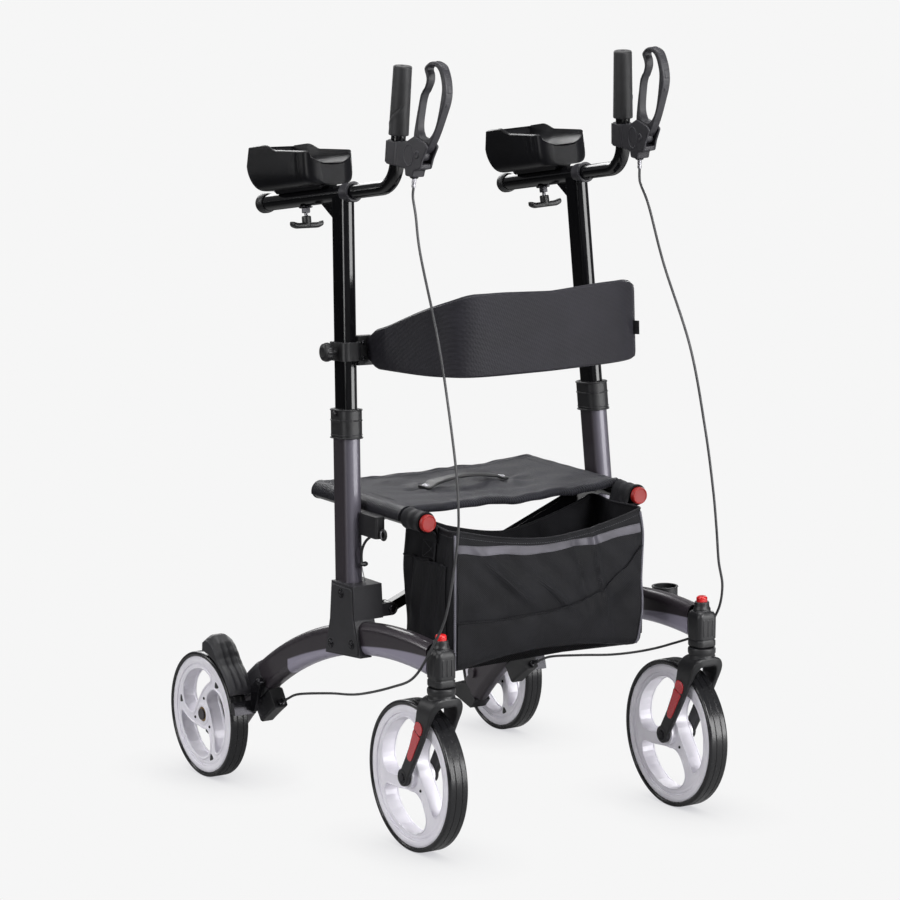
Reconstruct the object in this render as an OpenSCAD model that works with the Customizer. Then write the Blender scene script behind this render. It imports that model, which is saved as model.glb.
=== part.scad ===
// Upright walker: a folding four-wheeled rollator with forearm troughs.
// Forward is -Y, up is +Z, and the user's right is -X. The origin is on the floor, midway.

/* [Wheels] */
// Diameter of a front wheel over its tyre
front_wheel_d = 232; // [216:1:240]
// Diameter of a rear wheel over its tyre
rear_wheel_d = 203; // [190:1:210]
// Width of a front tyre
front_tyre_w = 33; // [28:1:36]
// Width of a rear tyre
rear_tyre_w = 31; // [27:1:33]
// Depth of a tyre outside its rim
tyre_depth = 8; // [6:0.5:10]
// Distance from the front axle to the rear axle
wheelbase = 565.5; // [555:0.5:580]
// Distance between the middle planes of the rear wheels
rear_track = 559; // [555:1:570]
// Diameter of a wheel axle
axle_d = 10; // [8:0.5:12]
// Radial depth of a rim's outer ring
rim_ring_t = 11; // [8:0.5:14]
// Thickness of a rim's spokes
rim_web_t = 23; // [18:0.5:25]
// Width of a front wheel's spoke
front_spoke_w = 17; // [12:0.5:22]
// Width of a rear wheel's spoke
rear_spoke_w = 13; // [10:0.5:18]
// Diameter of a wheel hub
hub_d = 34; // [28:1:40]

/* [Casters] */
// Distance from a caster's axis back to its axle
caster_trail = 67.5; // [55:0.5:75]
// Gap between a tyre and a fork leg
fork_side_gap = 4; // [3:0.5:6]
// Thickness of a fork leg
fork_leg_t = 8; // [6:0.5:10]
// Width of a fork leg at the axle
fork_foot_w = 27; // [24:1:32]
// Width of a fork leg at the crown
fork_top_w = 44; // [36:1:50]
// Height of the fork's crown
crown_h = 14; // [10:0.5:16]
// Gap between the front tyre and the crown
crown_gap = 5; // [4:0.5:9]
// Height of the ring collar over the crown
fork_collar_h = 14; // [10:0.5:16]
// Diameter of the ring collar
fork_collar_d = 42; // [36:1:46]
// Diameter of the caster stem
stem_d = 14; // [12:0.5:16]
// Length of a caster housing from front to back
housing_l = 36; // [32:1:42]
// Width of a caster housing
housing_w = 34; // [32:1:40]
// Height of a caster housing
housing_h = 58; // [54:1:64]
// Height of the neck over a caster housing
neck_h = 13; // [10:0.5:16]
// Diameter of the neck
neck_d = 22; // [21:0.5:26]
// Diameter of the release button
release_d = 17; // [14:0.5:17]
// Height of the release button over its neck
release_h = 8.5; // [6:0.5:12]
// Travel of the release button
release_travel = 4; // [3:0.5:5]

/* [Side frame] */
// Distance from the middle plane to a side frame
frame_x = 237; // [235:0.5:238]
// Radius of the arch's centre line
arch_r = 750; // [740:1:770]
// Height of the top of the arch's centre line
arch_top_z = 307.5; // [304:0.5:312]
// Height of the rear axle above the arch's centre line, square to the arch
axle_lift = 13; // [11:0.5:15]
// Width of the arch tube
arch_w = 30; // [26:1:32]
// Height of the arch tube
arch_h = 50; // [46:1:54]
// Rounding of the arch tube's edges
arch_edge = 12; // [8:0.5:13]
// Wall of the frame tubes
tube_wall = 2.5; // [2:0.1:3]
// Length of arch behind the rear axle
arch_tail = 16; // [12:1:20]
// Distance from the caster axis back to the foot of a post
post_back = 266; // [260:1:272]
// Height of the reference point on a post
post_z = 380; // [374:1:386]
// Distance of that point from the middle plane
post_x = 235.5; // [234:0.5:237]
// Lean of a post to the rear, in degrees
lean_back = 4.13; // [3:0.01:5]
// Lean of a post to the middle, in degrees
lean_in = 2.22; // [1:0.01:3]
// Width of a lower post
lower_post_w = 31; // [30:0.5:33]
// Depth of a lower post
lower_post_d = 46.5; // [46:0.5:49]
// Length of a lower post above the reference point
lower_post_l = 250; // [240:1:260]
// Length of a lower post below the reference point
lower_post_foot = 53; // [50:1:56]
// Width of an upper post
upper_post_w = 24; // [21:0.5:24.5]
// Depth of an upper post
upper_post_d = 40; // [37:0.5:40.5]
// Length of upper post inside the lower one
post_overlap = 160; // [150:1:170]
// Wall of a height collar
collar_wall = 3; // [2.5:0.5:4]
// Height of a height collar below the lower post's rim
collar_skirt = 32; // [26:1:36]
// Height of a height collar above that rim
collar_lip = 13; // [12:0.5:16]
// Diameter of a height button
height_button_d = 8; // [6:0.5:9]
// Travel of a height button
height_button_travel = 4; // [3:0.5:4]

/* [Post bracket] */
// Distance of a bracket's outer face from the middle plane
bracket_out = 257; // [255:0.5:260]
// Distance of a bracket's inner face from the middle plane
bracket_in = 206; // [204:0.5:209]
// Height of a bracket
bracket_h = 110; // [106:1:114]
// Width of a bracket at its foot
bracket_w = 104; // [98:1:108]
// Diameter of a bracket bolt's head
bolt_head_d = 9; // [7:0.5:11]
// Height of a bracket bolt's head
bolt_head_h = 2.5; // [2:0.5:4]

/* [Cross brace and rails] */
// Distance of a link's lower pivot from the middle plane
pivot_x = 188; // [184:0.5:190]
// Height of a link's lower pivot
pivot_z = 338; // [334:1:342]
// Place of the cross brace from front to back
brace_y = -106; // [-110:1:-102]
// Thickness of a link from front to back
link_t = 14; // [12:0.5:15]
// Height of a link's section
link_h = 16; // [14:0.5:18]
// Diameter of a link's pivot pins
link_pin_d = 8; // [6:0.5:9]
// Distance of a seat rail from the middle plane
rail_x = 192.5; // [190:0.5:193]
// Height of a seat rail
rail_z = 490; // [486:1:496]
// Diameter of a seat rail
rail_d = 25; // [22:0.5:26]
// Front end of a seat rail
rail_front = -240; // [-244:1:-236]
// Length of a seat rail
rail_l = 323; // [316:1:330]
// Thickness of a rail's end cap
rail_cap_t = 4; // [3:0.5:6]

/* [Armrest and handle] */
// Height of the armrest tube along the post
arm_h = 591; // [580:1:600]
// Upward tilt of the armrest tube from the post's square, in degrees
arm_pitch = 5.7; // [4:0.1:7]
// Turn of the armrest tube to the middle, in degrees
arm_toe = 2.5; // [1:0.1:3]
// Diameter of the armrest tube
arm_tube_d = 25.4; // [25:0.1:27]
// Length of armrest tube ahead of the post's axis
arm_tube_front = 30; // [28:0.5:34]
// Length of armrest tube behind the post's axis
arm_tube_back = 225; // [218:1:232]
// Diameter of the armrest tube's collars
arm_collar_d = 29; // [28.5:0.5:32]
// Length of the armrest tube's collars
arm_collar_l = 14; // [10:0.5:16]
// Diameter of the handle tube
handle_d = 22.2; // [20:0.1:22.4]
// Distance from the post's axis forward to the handle's corner
handle_reach = 143; // [138:1:150]
// Radius of the handle's bend
handle_bend_r = 45; // [40:1:50]
// Angle of the handle's bend, in degrees
handle_bend = 76.7; // [74:0.1:80]
// Length of handle tube behind the post's axis
handle_tail = 175; // [165:1:185]
// Height of a grip's foot over the handle's corner
grip_z = 77; // [75:0.5:80]
// Length of a grip
grip_l = 103; // [96:1:110]
// Diameter of a grip
grip_d = 30; // [28:0.5:32]
// Length of an arm trough
pad_l = 156; // [148:1:164]
// Width of an arm trough
pad_w = 82; // [76:1:90]
// Height of an arm trough at its front
pad_h = 51; // [48:1:54]
// Extra height of an arm trough's rear humps
pad_hump = 11; // [8:0.5:14]
// Wall of an arm trough
pad_wall = 6; // [5:0.5:8]
// Thickness of an arm trough under the forearm
pad_floor = 31; // [27:0.5:34]
// Front end of an arm trough behind the post's axis
pad_start = 22; // [19:1:26]
// Place of the clamp knob behind the post's axis
knob_back = 106; // [100:1:112]
// Length of the clamp knob's bar
knob_bar_l = 60; // [52:1:64]

/* [Brake] */
// Height of a brake lever over its pivot
lever_h = 142; // [134:1:148]
// Depth of a brake lever's loop
lever_l = 60; // [56:1:64]
// Width of a brake lever
lever_w = 14; // [12:0.5:16]
// Place of a brake lever's pivot ahead of the grip's axis
lever_reach = 66; // [63:1:69]
// Height of a brake lever's pivot over the handle's corner
lever_z = 58; // [56:0.5:60]
// Wall of a lever housing beside the lever
cheek_t = 3.5; // [3:0.5:5]
// Diameter of a brake cable
cable_d = 4; // [3:0.5:5]
// Forward bow of a brake cable between its lever and the caster
cable_bow = 100; // [90:5:110]
// Gap between a brake shoe and its tyre
shoe_gap = 3; // [2.5:0.1:4]
// Thickness of a brake shoe
shoe_t = 9; // [7:0.5:10]
// Gap between a rear tyre and its fender
fender_gap = 5; // [4:0.5:7]
// Thickness of a fender
fender_t = 5; // [4:0.5:6]

/* [Seat, bag and backrest] */
// Front edge of the seat cloth
seat_front = -180; // [-184:1:-176]
// Length of the seat cloth from front to back
seat_l = 258; // [250:1:262]
// Thickness of the seat cloth
seat_t = 3; // [2:0.5:4]
// Sag of the seat cloth
seat_sag = 9; // [4:0.5:14]
// Span of the seat's pull handle between rivets
strap_span = 140; // [120:1:150]
// Width of the pull handle
strap_w = 22; // [18:1:26]
// Half the width of the bag
bag_half_w = 174; // [166:1:177]
// Front of the bag
bag_front = -281; // [-286:1:-274]
// Depth of the bag from front to back
bag_l = 148; // [140:1:152]
// Height of the bag's bottom
bag_bottom = 262; // [258:1:270]
// Height of the bag
bag_h = 204; // [196:1:208]
// Thickness of the bag's cloth
bag_t = 2; // [1.5:0.5:3]
// Height of the backrest clamps along the post
backrest_h = 351; // [345:1:360]
// Height of the backrest band at its middle
band_h = 127; // [120:1:134]
// Height of the backrest band at its ends
band_end_h = 66; // [60:1:72]
// Thickness of the backrest band
band_t = 11; // [8:0.5:14]
// Reach of the backrest band ahead of its clamps
band_reach = 222; // [210:1:230]
// Half the width of the backrest band
band_half_w = 184; // [178:1:190]

/* [Cane cup and fold lock] */
// Outer diameter of the cane cup
cup_d = 40; // [36:1:41]
// Wall of the cane cup
cup_wall = 2.5; // [2:0.5:4]
// Height of the cane cup
cup_h = 44; // [38:1:48]
// Height of the cane cup's rim
cup_top = 330; // [326:1:334]
// Place of the cane cup from front to back
cup_y = -194; // [-200:1:-186]
// Length of the fold lock's box
lock_l = 52; // [46:1:56]
// Height of the fold lock's box
lock_h = 34; // [30:1:38]

/* [Clearances] */
// Radial clearance of a pin that turns in its bore
running_gap = 0.05; // [0.02:0.01:0.1]
// Clearance between pieces that fit together and stay put
fit_gap = 0.2; // [0.1:0.05:0.3]
// Clearance between pieces that pass each other
pass_gap = 0.6; // [0.4:0.1:1]
// Clearance round soft pieces
soft_gap = 0.3; // [0.2:0.05:0.4]

/* [Hidden] */
$fn = 64;
// overrun of every cut
cut = 1;
right = true;
left = false;

front_r = front_wheel_d / 2;
rear_r = rear_wheel_d / 2;
front_y = (front_r - wheelbase - rear_r) / 2;
rear_y = front_y + wheelbase;
rear_x = rear_track / 2;
caster_y = front_y - caster_trail;
post_y = caster_y + post_back;

// arch
arch_axis_z = arch_top_z - arch_r;
peak_y = rear_y - sqrt(pow(arch_r + axle_lift, 2) - pow(rear_r - arch_axis_z, 2));
arch_front_y = caster_y + housing_l / 2 + fit_gap;
arch_end_a = asin((rear_y - peak_y) / arch_r) + arch_tail / arch_r * 180 / PI;
arch_start_a = -asin(housing_l * 4 / arch_r);
arch_out = frame_x + arch_w / 2;
arch_in = frame_x - arch_w / 2;

// caster
crown_z = front_wheel_d + crown_gap;
collar_z = crown_z + crown_h;
housing_z = collar_z + fork_collar_h + pass_gap;
neck_z = housing_z + housing_h;
stem_l = housing_h * 0.75;
leg_in = front_tyre_w / 2 + fork_side_gap;
leg_out = leg_in + fork_leg_t;

// rear wheel
rear_hub_w = rear_tyre_w - 2 * axle_d / 2 + axle_d * 0.1;
axle_cap_t = rear_x + rear_tyre_w / 2 - (rear_x + rear_hub_w / 2) - pass_gap;
axle_cap_d = axle_d * 1.8;
axle_in = arch_in - axle_cap_t - fit_gap;

// openings between a rim's spokes: squareness, and the turn from hub to rim in degrees
opening_share = 0.55;
opening_n = 40;
front_swirl = 24;
rear_swirl = 42;
rim_lip_share = 0.55;

// post frame and what is measured along it
lower_rim = lower_post_l;
upper_foot = lower_rim - post_overlap;
collar_w = lower_post_w + 2 * collar_wall + 2 * fit_gap;
collar_d = lower_post_d + 2 * collar_wall + 2 * fit_gap;
post_edge_share = 0.42;
button_in = upper_post_w / 2 + pass_gap + height_button_travel;
button_out = collar_w / 2 + height_button_travel + pass_gap;

// bracket outline, as shares of its width and height
bracket_shares = [[0.30, 1], [-0.31, 1], [-0.345, 0.52], [-0.5, 0.02], [0.5, -0.06], [0.36, 0.45]];
bracket_y = post_y - bracket_w * 0.15;
bracket_z = post_z - bracket_h;
bolt_shares = [[0, 0.86], [0.31, 0.1], [-0.28, 0.18]];
bracket_top_share = 0.52;
ear_t = link_t * 0.36;
ear_r = link_pin_d * 1.25;

// cross brace
link_gap = pass_gap / 2;
link_a_y = brace_y - link_t / 2 - link_gap;
link_b_y = brace_y + link_t / 2 + link_gap;
link_a = atan2(rail_z - pivot_z, rail_x + pivot_x);
link_l = norm([rail_z - pivot_z, rail_x + pivot_x]);
link_mid = link_l * pivot_x / (pivot_x + rail_x);
cradle_r = rail_d / 2 + link_h * 0.3;
rail_wall = tube_wall * 0.6;

// armrest, in its own frame with -Y along the tube to the front
arm_bore_d = handle_d + 2 * soft_gap;
grip_rake = 90 - handle_bend;
bend_tangent = handle_bend_r * tan(handle_bend / 2);
handle_wall = tube_wall * 0.6;
nut_d = arm_tube_d * 0.45;
nut_h = arm_tube_d * 0.4;
screw_d = nut_d * 0.55;
knob_hub_d = arm_tube_d * 0.6;
knob_hub_h = knob_hub_d * 0.55;
knob_bar_h = knob_hub_d * 0.65;
knob_bar_w = knob_hub_d * 0.9;
knob_drop = nut_h + nut_h * 0.45;
gusset_t = tube_wall * 2;
gusset_l = arm_tube_d * 2.1;
gusset_h = arm_tube_d * 1.7;
pad_lift = arm_tube_d / 2 + pad_wall * 0.52;
pad_foot_w = pad_w * 0.42;
pad_foot_share = 0.2;

// arm trough: sections along its length, and the height of its wings along that length
pad_n = 20;
pad_m = 14;
pad_side_share = 0.34;
pad_rake_share = 0.135;
pad_rise_share = 0.17;
pad_nose_share = 0.44;
pad_step_shares = [0.58, 0.8];
pad_nose_r = pad_w * pad_nose_share;
pad_top = pad_h * (1 + pad_rise_share) + pad_hump;

// brake lever outline, as shares of its depth and height from the pivot
lever_outer_shares = [[0.297, 0.185], [0.24, 0.354], [0.173, 0.5], [0.107, 0.623], [0, 0.677],
  [-0.09, 0.76], [-0.083, 0.818], [0.017, 0.898], [-0.088, 0.952], [-0.24, 0.985], [-0.4, 0.993],
  [-0.557, 0.986], [-0.723, 0.953], [-0.893, 0.838], [-0.967, 0.708], [-0.937, 0.592], [-0.813, 0.459],
  [-0.655, 0.305], [-0.557, 0.221], [-0.455, 0.147], [-0.3, 0.06], [-0.133, 0.014], [0.1, 0.014],
  [0.25, 0.077]];
lever_inner_shares = [[-0.047, 0.174], [0.06, 0.201], [0.135, 0.255], [0.155, 0.331], [0.125, 0.449],
  [0.075, 0.568], [-0.005, 0.651], [-0.108, 0.704], [-0.183, 0.775], [-0.175, 0.845], [-0.108, 0.901],
  [-0.2, 0.937], [-0.35, 0.946], [-0.517, 0.933], [-0.642, 0.887], [-0.742, 0.803], [-0.783, 0.718],
  [-0.758, 0.613], [-0.708, 0.49], [-0.64, 0.37], [-0.543, 0.277], [-0.402, 0.206], [-0.233, 0.165]];
lever_pin_d = lever_w * 0.3;
lever_root_r = lever_l * 0.17;
// lever housing outline, as shares of its length and height from the handle's corner
body_l = lever_reach * 1.38;
body_h = lever_z * 1.45;
body_shares = [[-0.09, 0.39], [-0.4, 0.39], [-0.43, 0.27], [-0.63, 0.27], [-0.66, 0.4], [-0.835, 0.45],
  [-0.885, 0.63], [-1, 0.87], [-0.93, 0.93], [-0.61, 1], [-0.41, 0.875], [-0.09, 0.825]];
clamp_shares = [body_shares[0][1], body_shares[len(body_shares) - 1][1]];
body_w = lever_w + 2 * pass_gap + 2 * cheek_t;
band_clamp_d = handle_d * 1.5;
ferrule_d = cable_d * 1.6;
ferrule_l = cable_d * 4;
spout_share = -0.52;

// rear fender and brake, in degrees above the forward level line through the axle
fender_a = [27, 84];
fender_in = arch_out + fit_gap;
fender_out = rear_x + rear_tyre_w / 2;
fender_rib_r = fender_t * 0.7;
fender_rib_shares = [0.3, 0.56, 0.82];
fender_plate_t = fender_t * 0.8;
// lobe at the fender's upper end: [share of the fender's radius, degrees]
lobe_shares = [[0.98, 54], [1.04, 60], [1.12, 66], [1.19, 72], [1.225, 78], [1.19, 84], [1.1, 86],
  [0.98, 83.5]];
fender_r = rear_r + fender_gap;
shoe_a = [10, 21];
shoe_r = rear_r + shoe_gap;
arm_pivot_a = asin(0.547);
arm_pivot_r = arch_r - arch_h * 0.22;
arm_pivot = [peak_y + arm_pivot_r * sin(arm_pivot_a), arch_axis_z + arm_pivot_r * cos(arm_pivot_a)];
arm_in = arch_out + fender_plate_t + 2 * fit_gap + pass_gap;
arm_t = arch_w * 0.2;
arm_pin_d = axle_d * 0.7;
brake_unit_a = [33, 37.5];
brake_unit_w = arch_w * 0.8;
brake_unit_h = arch_h * 0.66;
pedal_l = arch_h * 0.85;
pedal_rib_n = 5;

// seat, bag and backrest
seat_n = 16;
seat_m = 14;
strap_rise = strap_w * 0.3;
strap_t = strap_w * 0.2;
strap_y = seat_front + seat_l * 0.56;
rivet_d = strap_w * 0.45;
bag_n = 40;
bag_square_share = 0.3;
bag_loop_l = rail_d * 1.3;
bag_loop_y = rail_front + rail_cap_t + bag_loop_l * 0.62;
band_n = 36;
band_m = 10;
band_square_share = 0.34;
band_lift_share = 0.33;
clamp_wall = upper_post_w * 0.2;
clamp_h = upper_post_d * 0.71;
clamp_box_l = upper_post_w * 1.3;
clamp_box_w = upper_post_w * 0.8;
clamp_box_h = upper_post_d * 1.125;
back_knob_d = upper_post_w * 1.15;
back_knob_l = upper_post_w * 0.55;
back_stem_d = back_knob_d * 0.35;
back_stem_l = back_knob_l * 0.6;
post_up = [-sin(lean_in) * cos(lean_back), sin(lean_back), cos(lean_in) * cos(lean_back)];
band_root = [post_x, post_y - clamp_box_w / 2 - 2 * soft_gap, post_z] + backrest_h * post_up;

// lock
lock_w = (post_x - rail_x) * 0.4;
ring_r = lock_h * 0.22;
ring_wire = ring_r * 0.28;

// brake cable routes, right side with x to the outside
cable_foot = [frame_x + housing_w * 0.68, caster_y - housing_l * 0.42, neck_z + neck_h * 0.8];
caster_a = asin((caster_y - peak_y) / arch_r);
// points along the bore of the lever's ferrule, as shares of its length
spout_points = [for (k = [0.56, 1.1, 2]) spout_at(k)];
// hanging part: [share of the height, shares of the bow to the side and to the rear]
hang_right = [[0.925, -0.03, 0.035], [0.842, -0.053, -0.013], [0.674, -0.069, -0.365],
  [0.547, -0.081, -0.542], [0.398, -0.105, -0.67], [0.306, -0.117, -0.675], [0.245, -0.112, -0.632],
  [0.152, -0.085, -0.485], [0.064, -0.035, -0.305], [0, 0, 0]];
hang_left = [[0.95, -0.015, 0.045], [0.902, -0.02, -0.073], [0.776, -0.041, -0.222],
  [0.597, -0.073, -0.58], [0.417, -0.115, -0.645], [0.279, -0.153, -0.618], [0.186, -0.165, -0.532],
  [0.108, -0.15, -0.405], [0.045, -0.065, -0.251], [-0.024, -0.005, 0.114]];
// part along the arch: [share of the way to the brake, shares of the tube's width and height]
under_right = [[0.062, 0.833, 0.555], [0.206, 0.667, 1.229], [0.442, 0.433, 1.692], [0.644, 0.267, 1.57],
  [0.854, 0.133, 1.198], [0.94, 0.063, 1.09], [0.996, 0, 1.02]];
under_left = [[0.069, 0.833, 0.582], [0.22, 0.633, 1.266], [0.359, 0.433, 1.609], [0.534, 0.367, 1.728],
  [0.706, 0.267, 1.549], [0.872, 0.133, 1.196], [0.94, 0.063, 1.09], [0.996, 0, 1.02]];
cable_right = concat(spout_points, [for (s = hang_right) hang(s)], [for (s = under_right) under_arch(s)]);
cable_left = concat(spout_points, [for (s = hang_left) hang(s)], [for (s = under_left) under_arch(s)]);
cable_steps = 4;
cable_sides = 8;

// plain helpers
function signed_pow(v, p) = sign(v) * pow(abs(v), p);
function scaled(shares, l, h) = [for (s = shares) [s[0] * l, s[1] * h]];
function polar(r, a) = [-r * cos(a), r * sin(a)];
function on_axle(r, a) = [rear_y, rear_r] + polar(r, a);
function curve(p, q, r, s, t) = ((2 * q) + (r - p) * t + (2 * p - 5 * q + 4 * r - s) * t * t
  + (3 * q - p - 3 * r + s) * t * t * t) / 2;
function smooth_loop(p, n) = [for (i = [0 : len(p) - 1], k = [0 : n - 1])
  curve(p[(i + len(p) - 1) % len(p)], p[i], p[(i + 1) % len(p)], p[(i + 2) % len(p)], k / n)];
function smooth_line(p, n) = concat([for (i = [0 : len(p) - 2], k = [0 : n - 1])
  curve(p[max(i - 1, 0)], p[i], p[i + 1], p[min(i + 2, len(p) - 1)], k / n)], [p[len(p) - 1]]);
function unit(v) = v / norm(v);
function about_x(p, a) = [p[0], p[1] * cos(a) - p[2] * sin(a), p[1] * sin(a) + p[2] * cos(a)];
function about_y(p, a) = [p[0] * cos(a) + p[2] * sin(a), p[1], p[2] * cos(a) - p[0] * sin(a)];
function about_z(p, a) = [p[0] * cos(a) - p[1] * sin(a), p[0] * sin(a) + p[1] * cos(a), p[2]];
function post_at(p) = [post_x, post_y, post_z] + about_y(about_x(p, -lean_back), -lean_in);
function arm_at(p) = post_at([0, 0, arm_h] + about_z(about_x(p, -arm_pitch), -arm_toe));
function grip_at(p) = arm_at([0, -handle_reach, 0] + about_x(p, grip_rake));
function spout_at(k) = grip_at([0, body_l * spout_share, body_h * body_shares[2][1] - ferrule_l * k]);
function hang(s) = cable_foot + (spout_points[0] - cable_foot) * s[0] + cable_bow * [s[1], s[2], 0];
function under_arch(s) = let (a = caster_a + s[0] * (brake_unit_a[0] - caster_a), r = arch_r - arch_h * s[2])
  [frame_x + arch_w * s[1], peak_y + r * sin(a), arch_axis_z + r * cos(a)];
function total(v) = v * [for (x = v) 1];
function middle(ring) = [for (c = [0 : 2]) total([for (p = ring) p[c]]) / len(ring)];

module on(is_right) {
  if (is_right) mirror([1, 0, 0]) children();
  else children();
}

// rounded rectangle made of true arcs
module rounded(w, h, r) {
  square([w - 2 * r, h], center = true);
  square([w, h - 2 * r], center = true);
  for (x = [-1, 1], y = [-1, 1])
    translate([x * (w / 2 - r), y * (h / 2 - r)]) circle(r);
}

// flat outline in Y and Z, thickened along X
module side_plate(x0, t) {
  translate([x0, 0, 0]) rotate([90, 0, 90]) linear_extrude(t) children();
}

module rod_x(d, x0, l) {
  translate([x0, 0, 0]) rotate([0, 90, 0]) cylinder(d = d, h = l);
}

module rod_y(d, y0, l) {
  translate([0, y0, 0]) rotate([-90, 0, 0]) cylinder(d = d, h = l);
}

// closed body from rings of points; both ends are closed by a fan about their middle
module skin(rings) {
  n = len(rings[0]);
  m = len(rings);
  mids = [middle(rings[0]), middle(rings[m - 1])];
  points = concat([for (ring = rings, p = ring) p], mids);
  walls = [for (k = [0 : m - 2], i = [0 : n - 1]) let (a = k * n + i, b = k * n + (i + 1) % n)
    each [[a, a + n, b], [b, a + n, b + n]]];
  low = [for (i = [0 : n - 1]) [m * n, i, (i + 1) % n]];
  high = [for (i = [0 : n - 1]) [m * n + 1, (m - 1) * n + (i + 1) % n, (m - 1) * n + i]];
  polyhedron(points, concat(walls, low, high));
}

// piece of a ring about the arch's axis
module arch_segment(a0, a1) {
  translate([0, peak_y, arch_axis_z]) rotate([0, 90, 0]) rotate([0, 0, 180 - a1])
    rotate_extrude(angle = a1 - a0) children();
}

// piece of a ring about the rear axle, in degrees above the forward level line
module rear_segment(a) {
  translate([0, rear_y, rear_r]) rotate([0, -90, 0]) rotate([0, 0, a[0] - 90])
    rotate_extrude(angle = a[1] - a[0]) mirror([0, 1]) children();
}

module post_frame(h) {
  translate([post_x, post_y, post_z]) rotate([-lean_back, -lean_in, 0]) translate([0, 0, h]) children();
}

module arm_frame() {
  post_frame(arm_h) rotate([-arm_pitch, 0, -arm_toe]) children();
}

module grip_frame() {
  arm_frame() translate([0, -handle_reach, 0]) rotate([grip_rake, 0, 0]) children();
}

module arch() {
  color("#4b474d") {
    difference() {
      translate([frame_x, 0, 0]) arch_segment(arch_start_a, arch_end_a)
        translate([arch_r, 0]) difference() {
          rounded(arch_h, arch_w, arch_edge);
          rounded(arch_h - 2 * tube_wall, arch_w - 2 * tube_wall, arch_edge - tube_wall);
        }
      translate([0, arch_front_y - arch_r, 0]) cube([2 * frame_x, arch_r, arch_r]);
      translate([0, rear_y, rear_r]) rod_x(axle_d + 2 * fit_gap, 0, 2 * frame_x);
    }
    translate([0, rear_y, rear_r]) {
      rod_x(axle_d, axle_in, rear_x + rear_tyre_w / 2 - axle_in);
      rod_x(axle_cap_d, axle_in, axle_cap_t);
      rod_x(axle_cap_d, rear_x + rear_hub_w / 2 + pass_gap, axle_cap_t);
      rod_x(axle_cap_d, arch_out + fit_gap, rear_x - rear_hub_w / 2 - arch_out - fit_gap - pass_gap);
    }
  }
}

module bracket_outline() {
  translate([bracket_y, bracket_z]) polygon(scaled(bracket_shares, bracket_w, bracket_h));
}

module post_bracket(link_y) {
  color("#26252a") {
    difference() {
      union() {
        side_plate(arch_in - fit_gap, bracket_out - arch_in + fit_gap) bracket_outline();
        side_plate(bracket_in, arch_in - bracket_in) intersection() {
          bracket_outline();
          translate([bracket_y - bracket_w, bracket_z + bracket_h * bracket_top_share])
            square([2 * bracket_w, bracket_h]);
        }
        for (s = [-1, 1])
          translate([pivot_x, link_y + s * (link_t / 2 + pass_gap / 2 + ear_t / 2), pivot_z]) {
            rod_y(2 * ear_r, -ear_t / 2, ear_t);
            translate([0, -ear_t / 2, -ear_r]) cube([bracket_in - pivot_x + cut, ear_t, 2 * ear_r]);
          }
      }
      translate([frame_x, 0, 0]) arch_segment(arch_start_a, arch_end_a) {
        translate([arch_r, 0]) rounded(arch_h + 2 * fit_gap, arch_w + 2 * fit_gap, arch_edge + fit_gap);
        translate([arch_r - arch_h, -arch_w / 2 - fit_gap - cut])
          square([arch_h, arch_w / 2 + fit_gap + cut]);
      }
      post_frame(-lower_post_foot - fit_gap) linear_extrude(lower_post_l)
        rounded(lower_post_w + 2 * fit_gap, lower_post_d + 2 * fit_gap, lower_post_w * post_edge_share);
    }
    translate([pivot_x, link_y, pivot_z])
      rod_y(link_pin_d, -link_t / 2 - ear_t - pass_gap, link_t + 2 * ear_t + 2 * pass_gap);
    for (b = bolt_shares)
      translate([bracket_out, bracket_y + b[0] * bracket_w, bracket_z + b[1] * bracket_h])
        rod_x(bolt_head_d, 0, bolt_head_h);
  }
}

module lower_post() {
  color("#4b474d") post_frame(-lower_post_foot) linear_extrude(lower_post_foot + lower_post_l) difference() {
    rounded(lower_post_w, lower_post_d, lower_post_w * post_edge_share);
    rounded(lower_post_w - 2 * tube_wall, lower_post_d - 2 * tube_wall,
      lower_post_w * post_edge_share - tube_wall);
  }
}

module height_collar() {
  color("#232226") post_frame(lower_rim) difference() {
    translate([0, 0, -collar_skirt]) linear_extrude(collar_skirt + collar_lip)
      rounded(collar_w, collar_d, collar_w * post_edge_share);
    translate([0, 0, -collar_skirt - cut]) linear_extrude(collar_skirt + cut + fit_gap)
      rounded(lower_post_w + 2 * fit_gap, lower_post_d + 2 * fit_gap, lower_post_w * post_edge_share);
    linear_extrude(collar_lip + cut)
      rounded(upper_post_w + 2 * soft_gap, upper_post_d + 2 * soft_gap, upper_post_w * post_edge_share);
    translate([0, 0, collar_lip / 2 + fit_gap])
      rod_x(height_button_d + 2 * running_gap, 0, collar_w);
  }
}

module height_button() {
  color("#18181a") post_frame(lower_rim + collar_lip / 2 + fit_gap)
    rod_x(height_button_d, button_in, button_out - button_in);
}

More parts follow.
